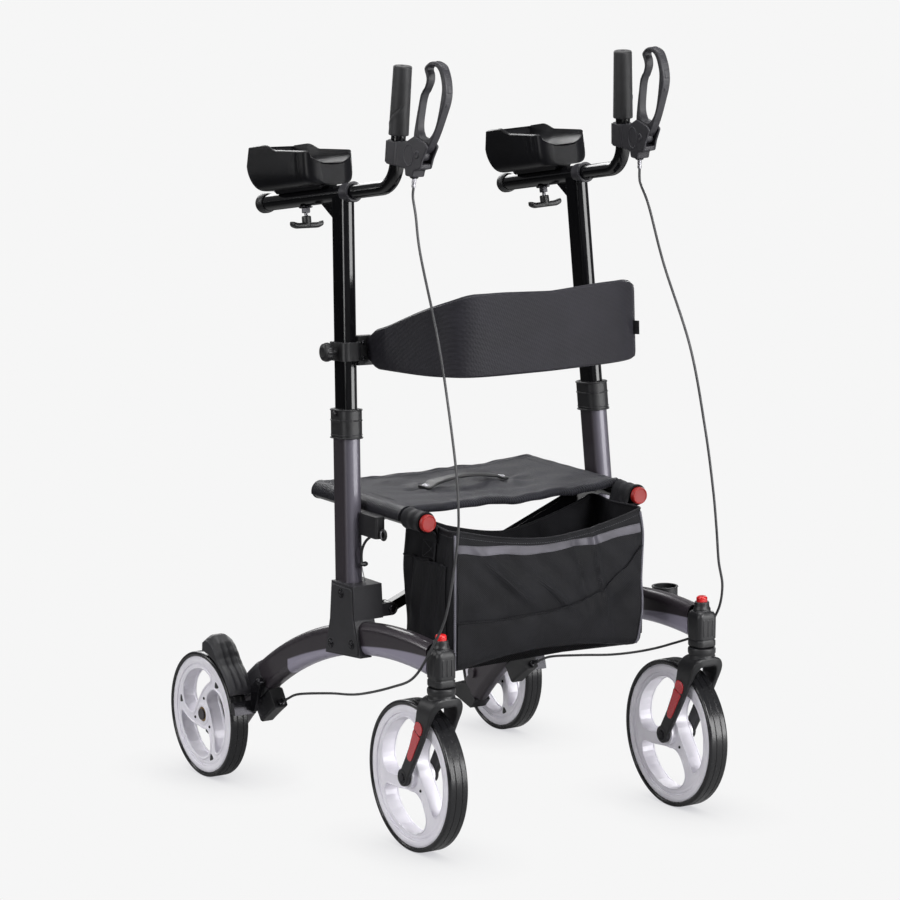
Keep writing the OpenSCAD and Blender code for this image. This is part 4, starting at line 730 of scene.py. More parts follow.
def casterFork():
    half = fork["legs"]
    line = smoothLine([(-x, z) for x, z in half] + half[-2::-1], 3)
    rings = []
    for i, (x, z) in enumerate(line):
        a, b = line[max(i - 1, 0)], line[min(i + 1, len(line) - 1)]
        size = math.hypot(b[0] - a[0], b[1] - a[1])
        nx, nz = -(b[1] - a[1]) / size, (b[0] - a[0]) / size
        share = min(1, max(0, (fork["top"] - z) / (fork["top"] - fork["axle"][1])))
        bend = math.sin(math.pi * share)
        mid = fork["axle"][0] * (share ** 1.15) - 3 * bend
        width = fork["wide"] + (fork["foot"] - fork["wide"]) * share - 5 * bend
        thick = fork["leg"] + (fork["crown"] - fork["leg"]) * ease(0.3, 0.0, share)
        rings.append([(x + nx * px, mid + py, z + nz * px)
                      for px, py in roundRect(thick, width, min(3.4, thick * 0.42), 4)])
    feet, bolts = [], []
    for s in (1, -1):
        feet.append(moved(lathe(fork["eye"]), shift(s * fork["legX"], *fork["axle"]) @ turn("Y", 90 * s)))
        spot = shift(s * (fork["legX"] + 3.2), *fork["axle"]) @ turn("Y", 90 * s)
        bolts.append(moved(plate([circle(6, 6.6)], 0, 2.6, 0.6, 1), spot))
        bolts.append(moved(lathe(fork["washer"], 32), spot))
    twin("caster_fork_arch", joined(loft(rings), *feet, lathe(fork["collar"], 56)), trimPlastic, "caster", forkBase,
         "caster_fork")
    twin("caster_axle_bolts", joined(*bolts), blackBolt, "caster", forkBase)


def forkReflectors():
    lens = joined(*(plate([smoothLine(fork[k], 4, closed=True)], *fork["lens"]) for k in ("capLens", "longLens")))
    rake = math.degrees(math.atan2(fork["axle"][0], fork["top"] - fork["axle"][1]))
    out, back, high = fork["lensAt"]
    for s, name, facing in ((1, "outer", here), (-1, "inner", turn("Y", 180))):
        spot = forkBase @ shift(s * (fork["legX"] + out), back, high) @ turn("X", rake) @ sidePlane
        twin("fork_reflector_" + name, moved(lens, facing), reflectorLens, "caster", spot)


def casterHousing():
    w, d, r = fork["blockSize"]
    rings = [[(x, y, z) for x, y in roundRect(w - 2 * inset, d - 2 * inset, r, 5)] for z, inset in fork["block"]]
    front = plate([roundRect(3.2, 26, 1.4, 4)], 0, 1.2, 0.5, 1)
    outer = plate([roundRect(26, 3.2, 1.4, 4)], 0, 1.0, 0.4, 1)
    ribs = [moved(front, shift(x, -17.8, fork["ribs"]) @ toFront) for x in (-8, 0, 8)]
    ribs += [moved(outer, shift(16.8, y, fork["ribs"]) @ toSide) for y in (-8, 2)]
    twin("caster_block", joined(loft(rings), lathe(fork["neck"]), *ribs), trimPlastic, "frame", forkBase,
         "caster_housing")


casterFork()
forkReflectors()
casterHousing()
print("casters made")

# post foot, collar and their bolts
post = {"bolts": [(-92.6, 364.6), (-60.4, 281), (-121.7, 289.8)], "out": 259,
        "cover": [(-63, 376), (-122, 376), (-125.5, 327), (-140.5, 275.5), (-92, 270.5), (-45, 267), (-58.5, 319.5)],
        "washer": [(4.6, -0.6), (7.4, -0.6), (7.6, 0.3), (7, 0.9), (4.8, 0.9)],
        "bands": [(219.2, 38.2, 53.7, 1.3), (223.5, 37.8, 53.3, 0.7), (246, 37.9, 53.4, 1.0),
                  (261.8, 37.0, 52.5, 1.5)],
        "button": [(3.2, 17), (4.0, 17.4), (4.0, 22.4), (3.6, 23.4), (2.6, 23.9), (0, 24)], "buttonAt": 256.7}


def postFoot():
    cover = plate([softCorners(post["cover"], 7)], post["out"] - 3.8, post["out"], 1.7, 3)
    twin("bracket_cover", cover, mouldedPlastic, "frame", sidePlane)
    bolt = joined(hoop(post["washer"], 32), lathe(dome(4.7, 2.7), 32), plate([circle(6, 1.9)], 2.1, 2.9, 0.2, 1))
    bolts = [moved(bolt, shift(post["out"], y, z) @ toSide) for y, z in post["bolts"]]
    twin("bracket_bolts", joined(*bolts), blackBolt, "frame")


def postCollar():
    bands = [sweep([(x, y, h) for x, y in roundRect(w, d, w * 0.42, 10)], r, 8, closed=True)
             for h, w, d, r in post["bands"]]
    twin("collar_bands", joined(*bands), trimPlastic, "frame", postBase)
    twin("height_button_cap", lathe(post["button"], 32), trimPlastic, "height_button",
         postBase @ shift(0, 0, post["buttonAt"]) @ toSide, "height_button")


postFoot()
postCollar()
print("posts fitted")

# armrest: trough, tube ends, nut and wing knob
trough = {"start": 22, "long": 156, "wide": 88, "high": 51, "hump": 11, "wall": 6, "floor": 31, "rake": 0.135,
          "rise": 0.17, "nose": 20, "blunt": 2.6, "cut": 0.94, "step": (0.58, 0.8), "side": 0.3, "lift": 15.82,
          "rows": 76, "across": 32, "lip": 1.8, "lipWide": 4.5, "tailRound": 2.2, "middle": 103,
          "noseRound": ((1.7, 0), (0.8, 0.05), (0.25, 0.1)),
          "saddle": ((-5.4, 27, 132), (-1, 30.4, 138), (3, 34.4, 138), (6, 30, 134))}


def wingHeight(u):
    rise = trough["high"] * (1 + trough["rise"] * min(1, u / trough["step"][0]))
    return rise + trough["hump"] * ease(*trough["step"], u)


def troughScoop(x, u):
    s = min(1, abs(x) / (trough["wide"] / 2 - trough["wall"]))
    return trough["floor"] + (wingHeight(u) - trough["floor"]) * (1 - math.sqrt(1 - s * s))


def troughRing(u):
    along, m, lip, soft = u * trough["long"], trough["across"], trough["lip"], trough["lipWide"]
    bend = trough["cut"] * max(0, 1 - along / trough["nose"])
    half = trough["wide"] / 2 * max(0.1, (1 - bend ** trough["blunt"]) ** (1 / trough["blunt"]))
    high = troughScoop(half, u)
    peak = trough["high"] * (1 + trough["rise"]) + trough["hump"]
    ring = []
    for i in range(-m, m + 1):
        x = half * math.sin(math.pi / 2 * i / m)
        ring.append((x, troughScoop(x, u) - lip * max(0, (abs(x) - half + soft) / soft) ** 2.2))
    ridge = 0.9 * gauss(along - 30, 4) - 0.5 * gauss(along - 42, 7)  # the step behind the nose
    for i in range(m, -m - 1, -1):
        a = math.pi / 2 * i / m
        z = (high - lip) * (1 - abs(math.cos(a)) ** trough["side"])
        ring.append(((half + ridge * ease(4, 26, z)) * spow(math.sin(a), trough["side"]), z))
    back = trough["long"] * trough["rake"] * max(0, 2 * u - 1) ** 2
    return [(x, trough["start"] + along + back * math.sin(math.pi * z / (1.2 * peak)), z) for x, z in ring]


def inset(ring, depth, push):
    made = []
    for i, p in enumerate(ring):
        a, b = ring[i - 1], ring[(i + 1) % len(ring)]
        along = Vector((b[0] - a[0], 0, b[2] - a[2])).normalized()
        made.append((p[0] + depth * along.z, p[1] + push, p[2] - depth * along.x))
    return made


def armTrough():
    r = trough["tailRound"]
    rings = [inset(troughRing(0), d, p) for d, p in trough["noseRound"]]
    rings += [troughRing((k / trough["rows"]) ** 1.4) for k in range(1, trough["rows"])]
    rings += [inset(troughRing(1), r * (1 - math.sqrt(1 - (k / 4) ** 2)), -r * (1 - k / 4)) for k in range(5)]
    saddle = loft([[(x, y, z) for x, y in roundRect(w, l, 5, 4)] for z, w, l in trough["saddle"]])
    shape = joined(loft(rings), moved(saddle, shift(0, trough["middle"], 0)))
    for obj in twin("trough_pad", shape, troughSkin, "upper", armBase @ shift(0, 0, trough["lift"]), "arm_trough",
                    crease=60):
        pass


arm = {"collar": [(11.3, 8), (14.2, 8.2), (14.8, 9.2), (14.8, 22), (15.2, 26), (15.9, 29.4), (15.9, 31), (15.2, 31.7),
                  (12.2, 31.7), (11.4, 30)],
       "cap": [(0, -228.6), (11.6, -228.4), (14.2, -227.2), (15.4, -224.6), (15.6, -217), (15.2, -212.6),
               (14.6, -211.4), (14.6, -209.8), (12.8, -209)],
       "seat": [(10.4, -12.6), (11, -13.4), (10.6, -14.8), (8.8, -15.4), (5, -15.4)],
       "wing": {"half": 29, "top": -37.6, "low": -46.2, "wide": 12.4, "tip": 2.4, "drop": 5.2},
       "hub": [(0, -44), (6.6, -43), (7.2, -40), (7.4, -36), (7.4, -30), (7, -28), (6.2, -27.5), (0, -27.4)]}
knobBase = armBase @ shift(0, 106, 0)


def armEnds():
    twin("tube_collar", lathe(arm["collar"]), leverPlastic, "upper", armBase @ toFront, slotName="black_plastic")
    twin("tube_cap", lathe(arm["cap"]), trimPlastic, "upper", armBase @ toFront)
    nut = joined(plate([circle(6, 7.2)], -22.6, -15.2, 0.7), lathe(arm["seat"], 48, 16, 0.4, 9))
    twin("knob_nut", nut, blackBolt, "upper", knobBase, crease=25)


def wingKnob():
    wing, rings = arm["wing"], []
    for i in range(41):
        u = i / 20 - 1
        tip = wing["tip"] * ease(0.55, 1, abs(u))
        top = wing["top"] + tip
        low = wing["low"] + wing["drop"] * max(0, (abs(u) - 0.62) / 0.38) ** 1.6
        wide = (wing["wide"] + tip) * math.sqrt(max(0.12, 1 - max(0, (abs(u) - 0.84) / 0.16) ** 2))
        rings.append([(wing["half"] * u, x, (top + low) / 2 + z)
                      for x, z in roundRect(wide, top - low, 0.4 * min(wide, top - low), 4)])
    twin("wing_knob", joined(loft(rings), lathe(arm["hub"], 48, 16, 0.35, 6.8)), trimPlastic, "clamp_knob", knobBase,
         "clamp_knob")
    thread = [(3.1 - 0.35 * (k % 2), -28 + 0.55 * k) for k in range(22)]
    twin("knob_stud", lathe([(0, -30), (3.0, -30)] + thread + [(0, -15)], 24), brightSteel, "clamp_knob", knobBase)


armTrough()
armEnds()
wingKnob()
print("armrests shaped")

# handle: ribbed grip, looped lever, housing trim
lever = {"half": 7, "edge": 2.2, "pivot": (-66, 58), "oval": (-44.8, 54.2, 11.9, 16),
         "cheek": [(-8.2, 32.8), (-36.4, 32.8), (-39.2, 22.7), (-57.4, 22.7), (-60.1, 33.6), (-76.1, 37.8),
                   (-80.6, 53), (-91.1, 73.2), (-84.7, 78.2), (-55.6, 84.1), (-44, 77.8), (-37.3, 73.6),
                   (-8.2, 69.4)],
         "core": [(-77, 45), (-66, 45.5), (-54, 49), (-47, 55), (-35, 62), (-33, 72.4), (-8.2, 69.4)],
         "clampSize": (26.4, 31.5, 8),
         "clamp": ((33, 1.6), (33.6, 0.5), (34.8, 0), (67.4, 0), (68.6, 0.5), (69.2, 1.6)),
         "pin": [(5.4, -0.4), (5.6, 0.5), (5.0, 1.1), (4.0, 1.2), (3.4, 0.8), (0, 0.7)],
         "nut": [(4.4, 0), (6, 0.4), (6.4, 1.4), (6.4, 4), (5.8, 5), (5, 6)],
         "marks": [(-93, 198.8, 7), (-108.6, 193.4, 7), (-117.2, 181, 6), (-123.2, 163, 13), (-121, 138.4, 6)],
         "outer": [(-48.2, 84.3), (-51.6, 108.2), (-55.6, 129), (-59.6, 146.4), (-66, 154.2), (-71.4, 165.9),
                   (-71, 174.1), (-65, 185.5), (-71.3, 193.2), (-80.4, 197.9), (-90, 199), (-99.4, 198),
                   (-109.4, 193.3), (-119.6, 177), (-124, 158.6), (-122.2, 142), (-114.8, 123.2), (-105.3, 101.3),
                   (-99.4, 89.4), (-93.3, 78.9), (-84, 66.5), (-74, 60), (-60, 60), (-51, 69)],
         "inner": [(-68.8, 82.7), (-62.4, 86.6), (-57.9, 94.2), (-56.7, 105), (-58.5, 121.8), (-61.5, 138.7),
                   (-66.3, 150.4), (-72.5, 158), (-77, 168), (-76.5, 178), (-72.5, 186), (-78, 191), (-87, 192.3),
                   (-97, 190.5), (-104.5, 184), (-110.5, 172), (-113, 160), (-111.5, 145), (-108.5, 127.6),
                   (-104.4, 110.6), (-98.6, 97.4), (-90.1, 87.3), (-80, 81.5)]}
leverBase = gripBase @ sidePlane


def gripSleeve():
    shape = [(11.3, 77), (14.4, 77.05), (15.1, 77.7), (15.25, 79)]
    shape += [(15.25 - 1.1 * k / 196, 80 + k / 2) for k in range(197)]
    shape += [(14.0, 179.4), (13.3, 180.5), (12, 181), (3.4, 181), (3, 180.4), (0, 180.3)]
    points, faces = lathe(shape, 72)
    made = []
    for x, y, z in points:
        r, a = math.hypot(x, y), math.degrees(math.atan2(x, y))  # angle from the rear, growing to the outside
        rear = ease(70, 40, abs(a)) * ease(81, 86, z) * ease(177, 172, z)
        cut = rear * 0.45 * (0.5 - 0.5 * math.cos(math.tau * z / 3.0))
        fold = 99 + (a - 60) / 98 * 23
        cut += (0.75 * gauss(z - fold, 1.1) - 0.5 * gauss(z - fold + 4.5, 3)) * ease(20, 55, a) * ease(172, 150, a)
        k = (r - cut) / r if r > 13 else 1
        made.append((x * k, y * k, z))
    twin("grip_sleeve", (made, faces), gripBlack, "handle", gripBase, "grip")


def leverLoop():
    loops = [smoothLine(lever[key], 5, closed=True) for key in ("outer", "inner")]
    half = lever["half"]
    root = [(0, -half), (9.2, -half), (10.2, -half + 1.2), (10.2, half - 1.2), (9.2, half), (0, half)]
    shape = [plate(loops, -half, half, lever["edge"], 3), moved(lathe(root, 40), shift(*lever["pivot"], 0))]
    for y, z, long in lever["marks"]:  # raised blocks on the finger side
        near = sorted(loops[0], key=lambda p: math.hypot(p[0] - y, p[1] - z))[:2]
        slope = math.degrees(math.atan2(near[1][1] - near[0][1], near[1][0] - near[0][0]))
        block = plate([roundRect(long, 2.6, 0.8, 3)], -2.8, 2.8, 0.6, 1)
        shape.append(moved(block, shift(y, z, 0) @ turn("Z", slope)))
    twin("lever_loop", joined(*shape), leverPlastic, "lever", leverBase, "brake_lever")


def housingShell():
    cheek, core = softCorners(lever["cheek"], 2.6), softCorners(lever["cheek"][:6] + lever["core"], 2)
    w, d, r = lever["clampSize"]
    clamp = loft([[(y + 0.2, z, x) for x, y in roundRect(w - 2 * g, d - 2 * g, r, 5)] for z, g in lever["clamp"]])
    shell = [plate([cheek], 7.4, 11.1, 1.3, 3), plate([cheek], -11.1, -7.4, 1.3, 3), plate([core], -9.6, 9.6, 0.8),
             clamp]
    y0, z0, wide, high = lever["oval"]
    for face in (1, -1):
        oval = [(y0 + y, z0 + z, face * 10.9) for y, z in circle(48, wide, high)]
        shell.append(sweep(oval, 0.8, 8, closed=True))
        shell.append(moved(lathe(lever["pin"], 32), shift(*lever["pivot"], face * 11) @ faceTurn[face]))
    shell.append(moved(plate([roundRect(3.6, 33, 1.4, 4)], -11.4, 11.4, 1.2), shift(14.6, 51.2, 0)))
    twin("housing_shell", joined(*shell), leverPlastic, "handle", leverBase, "lever_housing")
    screws = [moved(lathe(lever["nut"], 48, 12, 0.5, 5.6), shift(cable["exit"], 19.4, 0) @ toBack)]
    screws += [moved(lathe(dome(3.2, 1.8), 24), shift(16, 51.2 + z, 0) @ toSide) for z in (-9, 9)]
    twin("housing_screws", joined(*screws), blackBolt, "handle", leverBase)


gripSleeve()
leverLoop()
housingShell()
print("handles shaped")

# rear fender with its ridges and raised lobe, and the sleeve that holds it on the arch
fender = {"axle": (290, 101.5), "low": 106.5, "thick": 5, "from": 252.2, "to": 295, "first": 27, "last": 86,
          "steps": 48, "across": 40, "ridges": (262, 273, 284), "pivot": (258, 159.23, 176.14),
          "lobe": [(27, 0), (54, 0.5), (60, 4.5), (66, 13), (72, 21), (78, 25), (82, 23), (86, 15)],
          "skirt": ((107.5, range(27, 85, 3)), (44, range(84, 26, -3))),
          "hub": [(0, 252.3), (20, 252.3), (21, 253.4), (20.4, 256), (12, 257), (0, 257)],
          "arch": (237, -245, -442.5, 750), "skirtX": (252.4, 256.2), "sleeve": (30, 50, 13)}


def onWheel(r, degrees):  # a place round the rear axle, in Y and Z
    a = math.radians(degrees)
    return fender["axle"][0] - r * math.cos(a), fender["axle"][1] + r * math.sin(a)


def rearFender():
    rings = []
    for k in range(fender["steps"] + 1):
        a = fender["first"] + (fender["last"] - fender["first"]) * k / fender["steps"]
        rise = through(fender["lobe"], a)
        ends = ease(fender["first"] - 1, fender["first"] + 3, a)
        top, low = [], []
        for i in range(fender["across"] + 1):
            x = fender["from"] + (fender["to"] - fender["from"]) * i / fender["across"]
            edge = min(x - fender["from"], fender["to"] - x)
            ridge = sum(1.9 * gauss(x - r, 2.0) for r in fender["ridges"]) * ease(30, 36, a) * ease(74, 66, a)
            r = fender["low"] + fender["thick"] * (0.55 + 0.45 * ends) + ridge
            r += rise * (0.72 + 0.28 * ease(0, 14, edge)) - 2.6 * (1 - ease(0, 5, edge))
            top.append((x, r))
            low.append((x, fender["low"] + 0.3 * (1 - ease(0, 3, edge))))
        rings.append([(x, *onWheel(r, a)) for x, r in top + low[::-1]])
    skirt = [onWheel(r, a) for r, angles in fender["skirt"] for a in angles]
    skirt = moved(plate([skirt], *fender["skirtX"], 1), sidePlane)
    hub = moved(lathe(fender["hub"], 40), shift(0, *fender["axle"]) @ toSide)
    x0, y0, z0, radius = fender["arch"]
    wide, deep, corner = fender["sleeve"]
    sleeve = []
    for k in range(13):
        b = math.radians(33.4 + 0.32 * k)
        grow = 2 * (1.6 - 1.2 * abs(k - 6) / 6 * (abs(k - 6) > 4)) + 1.4
        sleeve.append([(x0 + x, y0 + (radius + y) * math.sin(b), z0 + (radius + y) * math.cos(b))
                       for x, y in roundRect(wide + grow, deep + grow, corner, 6)])
    twin("fender_shell", joined(loft(rings), skirt, hub, loft(sleeve)), mouldedPlastic, "frame", hides="rear_fender")
    head = joined(lathe(dome(6, 3, 5.6), 32), lathe([(0, 5.2), (7.6, 5.2), (7.6, 6.2), (0, 6.2)], 32))
    twin("brake_pivot", head, blackBolt, "frame", shift(*fender["pivot"]) @ toSide)


rearFender()
print("fenders made")

# backrest clamp screws and fluted knob, seat rail caps, links, cane cup, lock hose and wire
small = {"clamp": 351, "screws": [(-26, -12), (-42, -12), (-26, 12), (-42, 12)],
         "knob": [(4.9, 13.4), (4.9, 25), (7, 26.2), (11.4, 26.8), (13.6, 28), (14.6, 30), (14.7, 33), (14.4, 36),
                  (13.2, 38.4), (10.6, 40), (7, 40.8), (6.4, 40.2), (0, 40)],
         "railCap": [(11.2, 233), (12.9, 233.4), (13.3, 234.4), (13.3, 239.6), (12.8, 240.8), (11.6, 241.4),
                     (10.8, 241), (10.2, 240.4), (0, 240.2)],
         "railPlug": [(12.6, -78), (13.2, -79), (13.2, -82.6), (12, -84.4), (8, -85), (0, -85)],
         "linkMiddle": (0, -106.1, 413.1), "linkFeet": {"right": (188, -113.3, 338), "left": (188, -98.7, 338)},
         "rail": (192.5, 0, 490), "plugAt": (-229, -111, 410), "ringAt": (-218, -152, 461),
         "cup": (272.2, -194), "cupBands": (291, 314), "cupTop": 329,
         "cupRim": [(18.4, -0.6), (20.6, -0.6), (21.2, 0.2), (20.8, 1.2), (19.4, 1.6), (18, 1.2), (17.6, 0)],
         "cupBand": [(19.6, -1.6), (20.8, -1), (20.8, 1), (19.6, 1.6)],
         "hose": [(-222, -132, 466), (-224, -128, 457), (-229, -118, 447), (-232, -112, 434), (-232.5, -110, 422),
                  (-232, -110, 412)],
         "plug": [(0, -6.4), (2.6, -6.2), (3.2, -5), (3.2, -1), (4, 0), (4, 3.4), (3.4, 4.6), (2.2, 6.4), (0, 6.6)],
         "pull": [(-232, -110, 411), (-231, -110, 402), (-228.5, -109.5, 392), (-226, -109, 381)]}


def clampTrim():
    base = postBase @ shift(0, 0, small["clamp"])
    slot = plate([roundRect(4.4, 0.9, 0.3, 2), roundRect(0.5, 0.5, 0.1, 2)], 1.6, 2.6, 0.1, 1)
    screw = joined(lathe(dome(3.6, 2.2, 0.2), 24), slot)
    heads = [moved(screw, shift(x, -9.3, z) @ toFront) for x, z in small["screws"]]
    twin("clamp_screws", joined(*heads), blackBolt, "upper", base)
    twin("band_knob", lathe(small["knob"], 96, 12, 1.3, 13.4), trimPlastic, "backrest_knob", base @ toSide,
         "backrest_knob")


def domePair(x, y, z, gap, r, h, count):  # rounded heads on the front and back of a link
    return joined(*(moved(lathe(dome(r, h), count), shift(x, y + s * gap, z) @ way)
                    for s, way in ((-1, toFront), (1, toBack))))


def smallParts():
    rail = shift(*small["rail"]) @ toFront
    twin("rail_cap", lathe(small["railCap"]), capRed, "rail", rail)
    twin("rail_plug", lathe(small["railPlug"]), trimPlastic, "rail", rail)
    piece("link_rivets", domePair(*small["linkMiddle"], 18.5, 8.4, 4, 40), brightSteel, "link_a")
    for side, tag in sides:
        piece("link_foot_bolts_" + tag, domePair(*small["linkFeet"][tag], 12.9, 7, 3, 32), blackBolt, "frame_" + tag,
              side=side)
    rims = [(small["cupRim"], small["cupTop"])] + [(small["cupBand"], z) for z in small["cupBands"]]
    rims = [moved(hoop(profile, 64), shift(*small["cup"], z)) for profile, z in rims]
    piece("cane_cup_rim", joined(*rims), trimPlastic, "frame_left", slotName="trim_plastic")
    plug = moved(lathe(small["plug"], 24, 8, 0.4, 3), shift(*small["plugAt"]) @ toSide)
    piece("lock_hose", joined(sweep(smoothLine(small["hose"], 6), 2.1, 10), plug), trimPlastic, "frame_right")
    x0, y0, z0 = small["ringAt"]
    ring = [(x0 + x, y0, z0 + z) for x, z in circle(24, 5, 7)]
    piece("lock_wire", joined(sweep(smoothLine(small["pull"], 6), 0.7, 8), sweep(ring, 1.1, 8, closed=True)),
          brightSteel, "frame_right")


clampTrim()
smallParts()
print("small parts fitted")

# soft pieces: what each cloth rides on, and how far it flattens as the walker folds
cloths = {"seat": {"body": "rail_right", "slot": "seat_weave", "anchor": (-0.1925, 0, 0), "keep": 0.558},
          "bag": {"body": "rail_right", "slot": "bag_weave", "anchor": (-0.1925, 0, 0), "keep": 0.558},
          "band": {"body": "upper_right", "slot": "band_fabric", "anchor": (-0.184, 0, 0), "keep": 0.547}}


def sewn(kind, name, shape, look, hides=()):
    return piece(name, shape, look, cloths[kind]["body"], slotName=cloths[kind]["slot"], hides=hides)


def squashed(kind, *objects):
    for obj in objects:
        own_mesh(obj)


# seat: a sling cut flat and wrapped over both rails, with rolled hems
seat = {"front": -180, "long": 258, "rail": 192.5, "level": 490, "wrap": 14.3, "wrapFrom": -14, "wrapTurn": 116,
        "thick": 3.0, "edge": 12.8, "sag": 9.0, "rows": 64, "across": 72, "rivet": 70, "strap": -35.5,
        "hems": {"front": (2.5, 6.0, 1), "rear": (256.5, 4.4, -1)}, "hemRows": (10, 14), "sideRows": (178, 175)}


def sling(x, y):
    v = min(1, max(0, (y - seat["front"]) / seat["long"]))
    share = max(0, 1 - (x / seat["rail"]) ** 2)
    z = seat["edge"] - seat["sag"] * share * (0.65 + 0.35 * math.sin(math.pi * v))
    for s in (-1, 1):
        dx, dy = x - s * seat["rivet"], y - seat["strap"]
        r, a = math.hypot(dx, dy), math.atan2(dy, dx)
        z += -2.0 * gauss(r, 13) + 2.2 * math.cos(5 * a + 0.7 * s) * gauss(r - 28, 20)
    z += 4.2 * share * noise.noise(Vector((x * 0.014, y * 0.026, 3.1)))
    z += 2.1 * share * noise.noise(Vector((x * 0.045, y * 0.02, 7.7)))
    z += 0.9 * gauss(y - seat["front"] - 10, 12) * math.sin(x * 0.085) * share  # drawn in by the hem's stitches
    z += 0.7 * gauss(y - seat["front"] - seat["long"] + 10, 12) * math.sin(x * 0.09 + 1) * share
    return z


def seatSpot(x, y, lift=0.0):  # the middle of the cloth
    return x, y, seat["level"] + seat["thick"] / 2 + sling(x, y) + lift


def seatLine(y, lift=0.0):  # from one rail's top to the other's
    return [seatSpot(seat["rail"] * (2 * i / seat["across"] - 1), y, lift) for i in range(seat["across"] + 1)]


def wrapLine(y, lift=0.0):  # over the rail, from its outside to just past its top
    r = seat["wrap"] + lift + 0.15
    turns = [math.radians(seat["wrapFrom"] + seat["wrapTurn"] * k / 16) for k in range(17)]
    return [(seat["rail"] + r * math.cos(a), y, seat["level"] + r * math.sin(a)) for a in turns]


def seatSling():
    front, long, half = seat["front"], seat["long"], seat["thick"] / 2
    middle, wrap = [], []
    for j in range(seat["rows"] + 1):
        y = front + long * j / seat["rows"]
        middle.append(seatLine(y, half) + seatLine(y, -half)[::-1])
        roll = 0.9 * (gauss(y - front, 5) + gauss(y - front - long, 5)) + 0.25 * math.sin(y * 0.13)
        wrap.append(wrapLine(y, half + roll) + wrapLine(y, -half)[::-1])
    obj = sewn("seat", "seat_sling", loft(middle), seatWeave, ("seat_cloth",))
    parts = []
    for name, (ahead, r, inward) in seat["hems"].items():
        y = front + ahead
        path = [Vector((p[0], p[1], p[2] + 0.6 * math.sin(p[0] * 0.11) + 0.4 * math.sin(p[0] * 0.043)))
                for p in spaced(seatLine(y, -2.6), 160)]
        parts.append(sewn("seat", "seat_hem_" + name, sweep(path, r, 14, wide=1.15), seatWeave))
        rows = [stitches(spaced(seatLine(y + inward * d, 1.6), 260), 4.4, 3.1, 0.5) for d in seat["hemRows"]]
        parts.append(sewn("seat", "seat_stitch_" + name, joined(*rows), threadCord))
    ys = [front + 12 + (long - 24) * k / 90 for k in range(91)]
    for s, tag in sides:
        rows = [stitches([(s * x, *seatSpot(x, y, 1.55)[1:]) for y in ys], 3.6, 2.5, 0.42) for x in seat["sideRows"]]
        parts.append(sewn("seat", "seat_side_stitch_" + tag, joined(*rows), threadCord))
    wraps = twin("seat_wrap", loft(wrap), seatWeave, "rail")
    flat = lengthOf(inMetres(seatLine(-50))) + 2 * lengthOf(inMetres(wrapLine(-50))), long * mm
    squashed("seat", obj, *parts)


strap = {"half": 77, "wide": 26, "thick": 4.4, "rise": 6.6, "base": 9.4, "rivetAt": 69, "rivet": (4.6, 2.6),
         "washer": [(4.4, -1.2), (6.4, -1), (6.6, 0.2), (6, 0.9), (4.4, 1.1)]}


def strapLow(x):
    u = x / strap["half"]
    rise = strap["rise"] * max(0, math.cos(math.radians(100 * u))) ** 1.5
    top = seat["level"] + seat["thick"]
    return max(top + strap["base"] - 4.4 * ease(0.7, 0.92, abs(u)) + rise, top + sling(x, seat["strap"]) + 0.1)


def seatStrap():
    rings = []
    for i in range(97):
        x = (i / 48 - 1) * strap["half"]
        rib = 0.55 * (0.5 + 0.5 * math.cos(math.tau * x / 5.2)) * ease(46, 40, abs(x))
        end = math.sqrt(max(0.03, 1 - max(0, (abs(x) - 70) / 11.2) ** 2))
        wide = (strap["wide"] * (0.72 + 0.28 * ease(30, 58, abs(x))) + 2 * gauss(abs(x) - 70, 9)) * end
        thick = strap["thick"] + rib
        rings.append([(x, seat["strap"] + a, strapLow(x) + thick / 2 + b) for a, b in roundRect(wide, thick, 1.7, 4)])
    obj = piece("seat_strap", loft(rings), trimPlastic, "rail_right", hides=("seat_handle",), slotName="trim_plastic")
    rivet = joined(lathe(dome(*strap["rivet"]), 32), hoop(strap["washer"], 32))
    high = strapLow(strap["rivetAt"]) + strap["thick"] + 0.1
    heads = [moved(rivet, shift(s * strap["rivetAt"], seat["strap"], high)) for s in (-1, 1)]
    squashed("seat", obj, piece("seat_rivets", joined(*heads), brightSteel, "rail_right"))


seatSling()
seatStrap()
print("seat slung")

# bag: cloth hung between the rails, open on top
bag = {"halfW": 174, "halfL": 73.5, "middle": -207, "low": 262, "corner": 13, "thick": 2.2, "around": 224,
       "rows": 46, "pocket": 426, "pocketLow": 280, "flap": (424, 475), "sideTop": 479, "topHalf": 164,
       "tops": ((452, 27, 4, 1.7), (438, 40, 6, 1.5)), "stripTop": (443.5, 16), "stripTall": 13.4,
       "piping": 1.9,
       "folds": [(-78, 0.64, 0.9, 0.05, 6.6, 42), (8, 0.5, 1.1, 0.04, 6.0, 26), (88, 0.6, 5.0, 0.14, 5.4, 18),
                 (56, 0.62, 4.0, 0.12, -4.4, 15), (-134, 0.4, -0.4, 0.1, -3.0, 40), (126, 0.34, -0.6, 0.1, -3.2, 44)],
       "seam": [(-170, 340), (-90, 337), (-10, 339), (50, 348), (90, 361), (130, 387), (170, 424)],
       "box": [(0.14, 0.1), (0.86, 0.1), (0.86, 0.62), (0.14, 0.62), (0.14, 0.1), (0.86, 0.62), (0.86, 0.1),
               (0.14, 0.62)]}
bagOutlines = {}


def bagOutline(v):  # points round the bag at a height share
    w = bag["halfW"] * (0.985 + 0.015 * math.sin(math.pi * v))
    l = bag["halfL"] * (0.92 + 0.08 * math.sin(math.radians(150 * v)))
    ring = roundRect(2 * w, 2 * l, bag["corner"], 6)
    start = min(range(len(ring)), key=lambda i: abs(ring[i][1]) - ring[i][0])
    ring = ring[start:] + ring[:start + 1]
    return spaced([(x, y, 0) for x, y in ring], 361)


